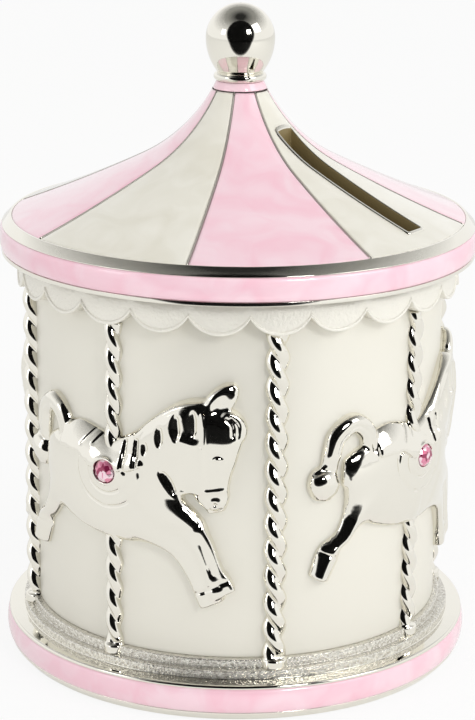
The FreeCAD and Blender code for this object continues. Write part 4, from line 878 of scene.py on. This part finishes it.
def features():
    """How far each spot of the horse's front is pushed out: mane, face, bridle, saddle, hooves and tail.

    The face sinks from the brow down to the jaw. The ear's hollow is deepest at its root. A fine groove runs
    round each saddle flap.
    """
    push = sum(notch(*row) for row in NOTCHES.values())
    push = push + sum(stroke(*row) for row in STROKES.values()) + sum(swell(*row) for row in SWELLS.values())
    past_turn = U - JAW_TURN[0]
    jaw = JAW_TURN[1] - np.where(past_turn > 0, JAW_AFTER, JAW_BEFORE) * past_turn
    face = np.clip((Z - jaw) / 3.2, 0, 1) * np.clip((U - 10.0) / 4.0, 0, 1)
    push -= 1.2 * np.clip((61.0 - Z) / 13.0, 0, 1) * face
    up_ear = EAR_WAY[0] * (U - EAR_AT[0]) + EAR_WAY[1] * (Z - EAR_AT[1])
    push += swell(EAR_AT, 1.6, 2.9, 1.0, EAR_LEAN) * (0.18 * up_ear - 0.6)
    from_stone = np.hypot(U - STONE_AT[0], Z - STONE_AT[1])
    for radius, outside in zip(FLAPS, (0.2, 0.15)):
        ring = np.exp(-(((from_stone - radius - outside) / 0.3) ** 2))
        push -= 0.35 * ring * np.clip(FLAPS_HIGH - Z, 0, 1)
    return push


def pushed(field, push):
    """The field with its front moved out by push: each column is read that much deeper, between samples."""
    depth = (D[None, None] - push[..., None] - LOW_D) / CELL
    low = np.clip(np.floor(depth).astype(int), 0, len(D) - 2)
    share = np.clip(depth - low, 0, 1)
    return np.take_along_axis(field, low, 2) * (1 - share) + np.take_along_axis(field, low + 1, 2) * share


def softened(field):
    """Each sample mixed with its neighbours on the three axes, as casting and plating soften edges."""
    for axis in range(3):
        padded = np.concatenate([field.take([0], axis), field, field.take([-1], axis)], axis)
        count = field.shape[axis]
        near = padded.take(range(count), axis) + padded.take(range(2, count + 2), axis)
        field = field / 2 + near / 4
    return field


def field_surface(field):
    """The zero surface of a field: the mean of the crossings in each crossed cell, joined in quads."""
    shape = np.array(field.shape) - 1
    total, count = np.zeros((*shape, 3)), np.zeros(shape)
    full = field.shape
    crossings = []
    for axis in range(3):
        others = [k for k in range(3) if k != axis]
        ahead, behind = [slice(None)] * 3, [slice(None)] * 3
        ahead[axis], behind[axis] = slice(1, None), slice(None, -1)
        a, b = field[tuple(behind)], field[tuple(ahead)]
        crossed = (a < 0) != (b < 0)
        share = np.where(crossed, a / np.where(crossed, a - b, 1), 0)
        crossings.append(crossed)
        for first, second in ((0, 0), (0, 1), (1, 0), (1, 1)):
            take = [slice(None)] * 3
            take[others[0]] = slice(first, full[others[0]] - 1 + first)
            take[others[1]] = slice(second, full[others[1]] - 1 + second)
            hit = crossed[tuple(take)]
            count += hit
            total[..., axis] += share[tuple(take)]
            total[..., others[0]] += hit * first
            total[..., others[1]] += hit * second
    used = count > 0
    number = np.full(shape, -1)
    number[used] = np.arange(used.sum())
    points = np.argwhere(used) + total[used] / count[used][:, None]
    quads = []
    for axis, crossed in enumerate(crossings):
        others = [k for k in range(3) if k != axis]
        inner = [slice(None)] * 3
        for k in others:
            inner[k] = slice(1, -1)
        at = np.argwhere(crossed[tuple(inner)])
        corners = []
        for first, second in ((0, 0), (1, 0), (1, 1), (0, 1)):
            cell = at.copy()
            cell[:, others[0]] += first
            cell[:, others[1]] += second
            corners.append(number[tuple(cell.T)])
        quads.append(np.stack(corners, -1))
    return points, np.concatenate(quads)


def sampled(field, points):
    """The field between its samples at fractional grid places."""
    low = np.clip(np.floor(points).astype(int), 0, np.array(field.shape) - 2)
    share = points - low
    value = 0
    for i, j, k in np.ndindex(2, 2, 2):
        weight = np.abs(np.array([1 - i, 1 - j, 1 - k]) - share).prod(-1)
        value = value + weight * field[low[:, 0] + i, low[:, 1] + j, low[:, 2] + k]
    return value


def relief_horse():
    """One horse over the +X side: the field's surface, settled on it, then wrapped round the drum."""
    field, rise, fillet = horse_field(), 3.4, 0.15
    for radius, front in zip(FLAPS, (rise, rise + 0.35)):
        flap = np.maximum(disc(radius, front), (Z - FLAPS_HIGH)[..., None])
        field = smooth_min(field, flap, fillet)
    cup, socket = disc(STONE + 0.6, rise + 0.85), -disc(STONE + 0.02, 9.0)
    field = smooth_min(pushed(field, features()), cup, fillet)
    field = np.maximum(field, np.where(D > rise - 0.5, socket, -9.0))
    back = -D - 0.4
    field = softened(np.maximum(field, back))
    points, faces = field_surface(field)
    slopes = np.gradient(field)
    for _ in range(3):
        slope = np.stack([sampled(part, points) for part in slopes], -1)
        step = 0.8 * sampled(field, points) / np.maximum((slope**2).sum(-1), 0.003)
        points = points - slope * step[:, None]
    u, z, d = (points * CELL + [LOW_U, LOW_Z, LOW_D]).T
    angle, out = u / DRUM, DRUM + d
    return np.stack([out * np.cos(angle), out * np.sin(angle), z], -1), faces


def cut_stone():
    """A round brilliant facing +X: eight-sided table, belt of kites and triangles, sixteen-sided girdle.

    Its points lie on four rings: table, belt, and the girdle's front and back.
    """
    eighth = np.arange(8) * TAU / 8
    sixteenth = np.arange(16) * TAU / 16
    seat, rise = DRUM + 3.75, 1.2
    rings = [
        (eighth, 0.52 * STONE, rise),
        (eighth + TAU / 16, 0.8 * STONE, 0.62 * rise),
        (sixteenth, 0.99 * STONE, 0.12 * rise),
        (sixteenth, 0.99 * STONE, -0.2 * rise),
    ]
    middle = STONE_AT[1]
    points = []
    for turn, radius, up in rings:
        x, y, z = seat + up + 0 * turn, radius * np.cos(turn), middle + radius * np.sin(turn)
        points.append(np.stack([x, y, z], -1))
    faces = [list(range(8)), list(range(32, 48))[::-1]]
    for k in range(8):
        on, back = (k + 1) % 8, (k - 1) % 8
        faces.append([k, on, 8 + k])
        faces.append([k, 8 + k, 16 + 2 * k, 8 + back])
        faces.append([8 + k, 16 + 2 * k + 1, 16 + 2 * k])
        faces.append([8 + k, 16 + (2 * k + 2) % 16, 16 + 2 * k + 1])
    faces += [[16 + k, 16 + (k + 1) % 16, 32 + (k + 1) % 16, 32 + k] for k in range(16)]
    return np.concatenate(points), faces


# Pieces


def on_steps(middles):
    """The faces of the base's two steps."""
    return (middles[:, 2] > DECK + 0.15) & (np.hypot(middles[:, 0], middles[:, 1]) < STEP_ONE + 0.1)


base, base_band = base_moulding(), crowned_band(BASE, BAND_LOW, BAND_HIGH)
rim_band = crowned_band(RIM, RIM_LOW, RIM_HIGH)
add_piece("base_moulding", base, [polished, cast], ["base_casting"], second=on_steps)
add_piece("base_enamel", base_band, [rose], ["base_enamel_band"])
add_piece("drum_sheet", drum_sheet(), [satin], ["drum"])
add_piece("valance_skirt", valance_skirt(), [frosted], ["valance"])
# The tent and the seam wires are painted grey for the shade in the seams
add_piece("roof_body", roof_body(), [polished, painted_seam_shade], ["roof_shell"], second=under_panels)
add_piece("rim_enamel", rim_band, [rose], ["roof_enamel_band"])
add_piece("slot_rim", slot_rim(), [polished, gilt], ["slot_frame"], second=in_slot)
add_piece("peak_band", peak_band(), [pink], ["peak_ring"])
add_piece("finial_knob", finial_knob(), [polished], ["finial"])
whole_panel = wedge(SEAM, lift=0.02, drop=PANEL_DEPTH, soft=0.2)
slot_panel = slotted_wedge(SEAM, lift=0.02, drop=PANEL_DEPTH, soft=0.2, margin=0.4)
for k in range(PANELS):
    panel = spun(whole_panel if k else slot_panel, 360 / PANELS * k)
    enamel, slot_name = (pink, "pink_enamel") if k % 2 else (ivory, "ivory_enamel")
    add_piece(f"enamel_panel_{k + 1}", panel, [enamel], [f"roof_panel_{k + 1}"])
column = rope_post(strand=1.72, offset=0.9, foot=2.95)
pole = rope_post(strand=1.4, offset=0.72, foot=2.5)
horse, stone = relief_horse(), cut_stone()
around = [
    ("rope_column", "column", column, 45, polished, "silver_plate"),
    ("rope_pole", "pole", pole, 0, polished, "silver_plate"),
    ("relief_horse", "horse", horse, 0, polished, "silver_plate"),
    ("cut_stone", "crystal", stone, 0, crystal, "pink_crystal"),
]
for k in range(4):
    for name, node, shape, first, finish, slot_name in around:
        piece = spun(shape, first + 90 * k)
        faceted = finish is crystal
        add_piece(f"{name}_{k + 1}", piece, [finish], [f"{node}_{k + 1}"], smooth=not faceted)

finishes = {
    "painted_plate": satin,
    "rubber": soft_plug,
    "tray_plastic": tray,
    "brass": brass,
    "steel": steel,
}
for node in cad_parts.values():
    if not node.hide_render:
        old = node.data.materials[0].name if node.data.materials else ""
        slot_name = next((key for key in finishes if key in old), "steel")
        node.data.materials.clear()
        node.data.materials.append(finishes[slot_name])


# Studio and camera


def seen_share(holder, direct, mirrored):
    """One share for what the camera or a clear piece sees, one for mirrors, and 0 for other light."""
    path = add_node(holder, "ShaderNodeLightPath")
    names = ("Is Camera Ray", "Is Transmission Ray", "Is Glossy Ray")
    eye, clear, gloss = (path.outputs[name] for name in names)
    seen = add_node(holder, "ShaderNodeMath", {0: eye, 1: clear}, operation="MAXIMUM").outputs[0]
    mirror = add_node(holder, "ShaderNodeMath", {0: gloss, 1: mirrored}, operation="MULTIPLY").outputs[0]
    parts = {0: seen, 1: direct, 2: mirror}
    return add_node(holder, "ShaderNodeMath", parts, operation="MULTIPLY_ADD").outputs[0]


def studio_surface(name, shade, glow, mirrored):
    """Matt paper or cloth of that shade; glow is the share of plain white that the eye sees in place of it.

    The surface is clear from its back, so that the object can be looked at from underneath, and clear where
    the sheet's "open" attribute is 1.
    """
    material = new_material(name)
    place = add_node(material, "ShaderNodeTexCoord").outputs["Object"]
    inputs = {"Vector": place, "Scale": 1 / (30.0 * MM), "Detail": 2.0}
    speck = add_node(material, "ShaderNodeTexNoise", inputs)
    inputs = {"Value": speck.outputs["Fac"], "From Min": NOISE_LOW, "From Max": NOISE_HIGH}
    rough = add_node(material, "ShaderNodeMapRange", inputs | {"To Min": 0.7, "To Max": 0.9})
    values = {"Base Color": hex_colour(shade), "Roughness": rough.outputs["Result"]}
    values["Specular IOR Level"] = 0.1
    matt = add_node(material, "ShaderNodeBsdfPrincipled", values)
    white = add_node(material, "ShaderNodeEmission", {"Color": (1, 1, 1, 1), "Strength": 1.0})
    parts = {0: seen_share(material, glow, mirrored), 1: matt.outputs[0], 2: white.outputs[0]}
    blend = add_node(material, "ShaderNodeMixShader", parts)
    side = add_node(material, "ShaderNodeNewGeometry").outputs["Backfacing"]
    weave = add_node(material, "ShaderNodeAttribute", attribute_name="open").outputs["Fac"]
    share = add_node(material, "ShaderNodeMath", {0: side, 1: weave}, operation="MAXIMUM").outputs[0]
    clear = add_node(material, "ShaderNodeBsdfTransparent")
    sheet = add_node(material, "ShaderNodeMixShader", {0: share, 1: blend.outputs[0], 2: clear.outputs[0]})
    add_node(material, "ShaderNodeOutputMaterial", {"Surface": sheet.outputs[0]})
    return material


def stage_sheet(name, points, faces, material, clear):
    """A studio surface from points in metres, with how clear it is at each of them."""
    mesh = bpy.data.meshes.new(name)
    mesh.from_pydata(points.tolist(), [], faces.tolist())
    openness = mesh.attributes.new("open", "FLOAT", "POINT")
    openness.data.foreach_set("value", np.ascontiguousarray(clear, np.float32))
    mesh.polygons.foreach_set("use_smooth", np.ones(len(mesh.polygons), bool))
    sheet = bpy.data.objects.new(name, mesh)
    bpy.context.scene.collection.objects.link(sheet)
    mesh.materials.append(material)
    return sheet


CAMERA_AZIMUTH = math.radians(-55.5)


def mirror_card(name, half, rise, far, shade, solid):
    """Unlit room seen only in mirrors: a round patch of a sphere that runs on over the table.

    It is full up to the share solid of its radius, and from there it thins out to nothing at its rim.
    """
    half, rise, middle, over_table = math.radians(half), math.radians(rise), 0.09, 0.001
    spokes, rings = 48, 24
    ring = np.linspace(0, TAU, spokes, endpoint=False)[:, None]
    tilt = np.linspace(0.001, half, rings)[None]
    ahead, left, up = np.cos(tilt) + 0 * ring, np.sin(tilt) * np.cos(ring), np.sin(tilt) * np.sin(ring)
    out, high = ahead * math.cos(rise) - up * math.sin(rise), ahead * math.sin(rise) + up * math.cos(rise)
    c, s = math.cos(CAMERA_AZIMUTH), math.sin(CAMERA_AZIMUTH)
    way = np.stack([out * c - left * s, out * s + left * c, high], -1).reshape(-1, 3)
    reach = np.minimum(far, (middle - over_table) / np.maximum(-way[:, 2], 0.001))
    points = way * reach[:, None] + [0, 0, middle]
    clear = np.clip((tilt / half - solid) / (1 - solid), 0, 1) + 0 * ring
    cloth = studio_surface(name + "_cloth", shade, glow=0.0, mirrored=0.0)
    inward = grid_faces(spokes, rings, True, False)[:, ::-1]
    card = stage_sheet(name, points, inward, cloth, clear.ravel())
    card.visible_camera = False
    card.visible_diffuse = False
    card.visible_shadow = False


def soft_box(name, azimuth, rise, far, wide, power):
    """A square lamp aimed at the middle of the object, its azimuth counted from the camera's."""
    lamp = bpy.data.lights.new(name, "AREA")
    lamp.size = wide
    lamp.energy = power
    light, middle = bpy.data.objects.new(name, lamp), 0.07
    turn, up = CAMERA_AZIMUTH + math.radians(azimuth), math.radians(rise)
    way = np.array([math.cos(up) * math.cos(turn), math.cos(up) * math.sin(turn), math.sin(up)])
    light.location = way * far + [0, 0, middle]
    light.rotation_euler = (math.pi / 2 - up, 0, turn + math.pi / 2)
    bpy.context.scene.collection.objects.link(light)


def photo_camera():
    """The camera of the photograph, aimed down a little and rolled a hair."""
    away, height, down, roll = 0.5198, 0.2161, 0.283085, 0.00915
    lens = bpy.data.cameras.new("photo_camera")
    lens.sensor_fit, lens.sensor_height, lens.sensor_width, lens.lens = "VERTICAL", 36.0, 36.0, 120.1
    camera = bpy.data.objects.new("photo_camera", lens)
    quarter = math.pi / 2
    turn = Matrix.Rotation(CAMERA_AZIMUTH + quarter, 4, "Z") @ Matrix.Rotation(quarter - down, 4, "X")
    place = (away * math.cos(CAMERA_AZIMUTH), away * math.sin(CAMERA_AZIMUTH), height)
    camera.matrix_world = Matrix.Translation(place) @ turn @ Matrix.Rotation(roll, 4, "Z")
    bpy.context.scene.collection.objects.link(camera)
    bpy.context.scene.camera = camera


def table_top():
    """A flat ring from under the foot out to 3 m, open inside so that light reaches the base plate."""
    spokes, radius = 96, np.array([[(BASE - 3.0) * MM, 0.15, 0.6, 3.0]])
    around = np.linspace(0, TAU, spokes, endpoint=False)[:, None]
    points = np.stack([radius * np.cos(around), radius * np.sin(around), 0 * around * radius], -1)
    paper = studio_surface("white_table", "#F4F4F2", glow=0.85, mirrored=0.4)
    faces = grid_faces(spokes, radius.size, True, False)
    stage_sheet("table_top", points.reshape(-1, 3), faces, paper, np.zeros(spokes * radius.size))


table_top()
mirror_card("dark_room", half=47, rise=20, far=1.3, shade="#0C0C0C", solid=0.94)
mirror_card("dark_ceiling", half=34, rise=80, far=1.5, shade="#2C2C2C", solid=0.3)
mirror_card("grey_ceiling", half=72, rise=88, far=1.7, shade="#A0A09E", solid=0.5)
soft_box("right_box", azimuth=64, rise=34, far=1.2, wide=0.5, power=2.0)
soft_box("left_box", azimuth=-62, rise=22, far=1.2, wide=0.3, power=0.5)
soft_box("small_box", azimuth=30, rise=28, far=1.1, wide=0.22, power=2.4)
photo_camera()

world = bpy.data.worlds.new("white_room")
bpy.context.scene.world = world
world.use_nodes = True
world.node_tree.nodes.clear()
FILL = 0.78
extra = seen_share(world, 1 - FILL, 1 - FILL)
level = add_node(world, "ShaderNodeMath", {0: extra, 1: FILL}, operation="ADD")
sky = add_node(world, "ShaderNodeBackground", {"Color": (1, 1, 1, 1), "Strength": level.outputs[0]})
add_node(world, "ShaderNodeOutputWorld", {"Surface": sky.outputs[0]})
bpy.context.scene.view_settings.view_transform = "Standard"
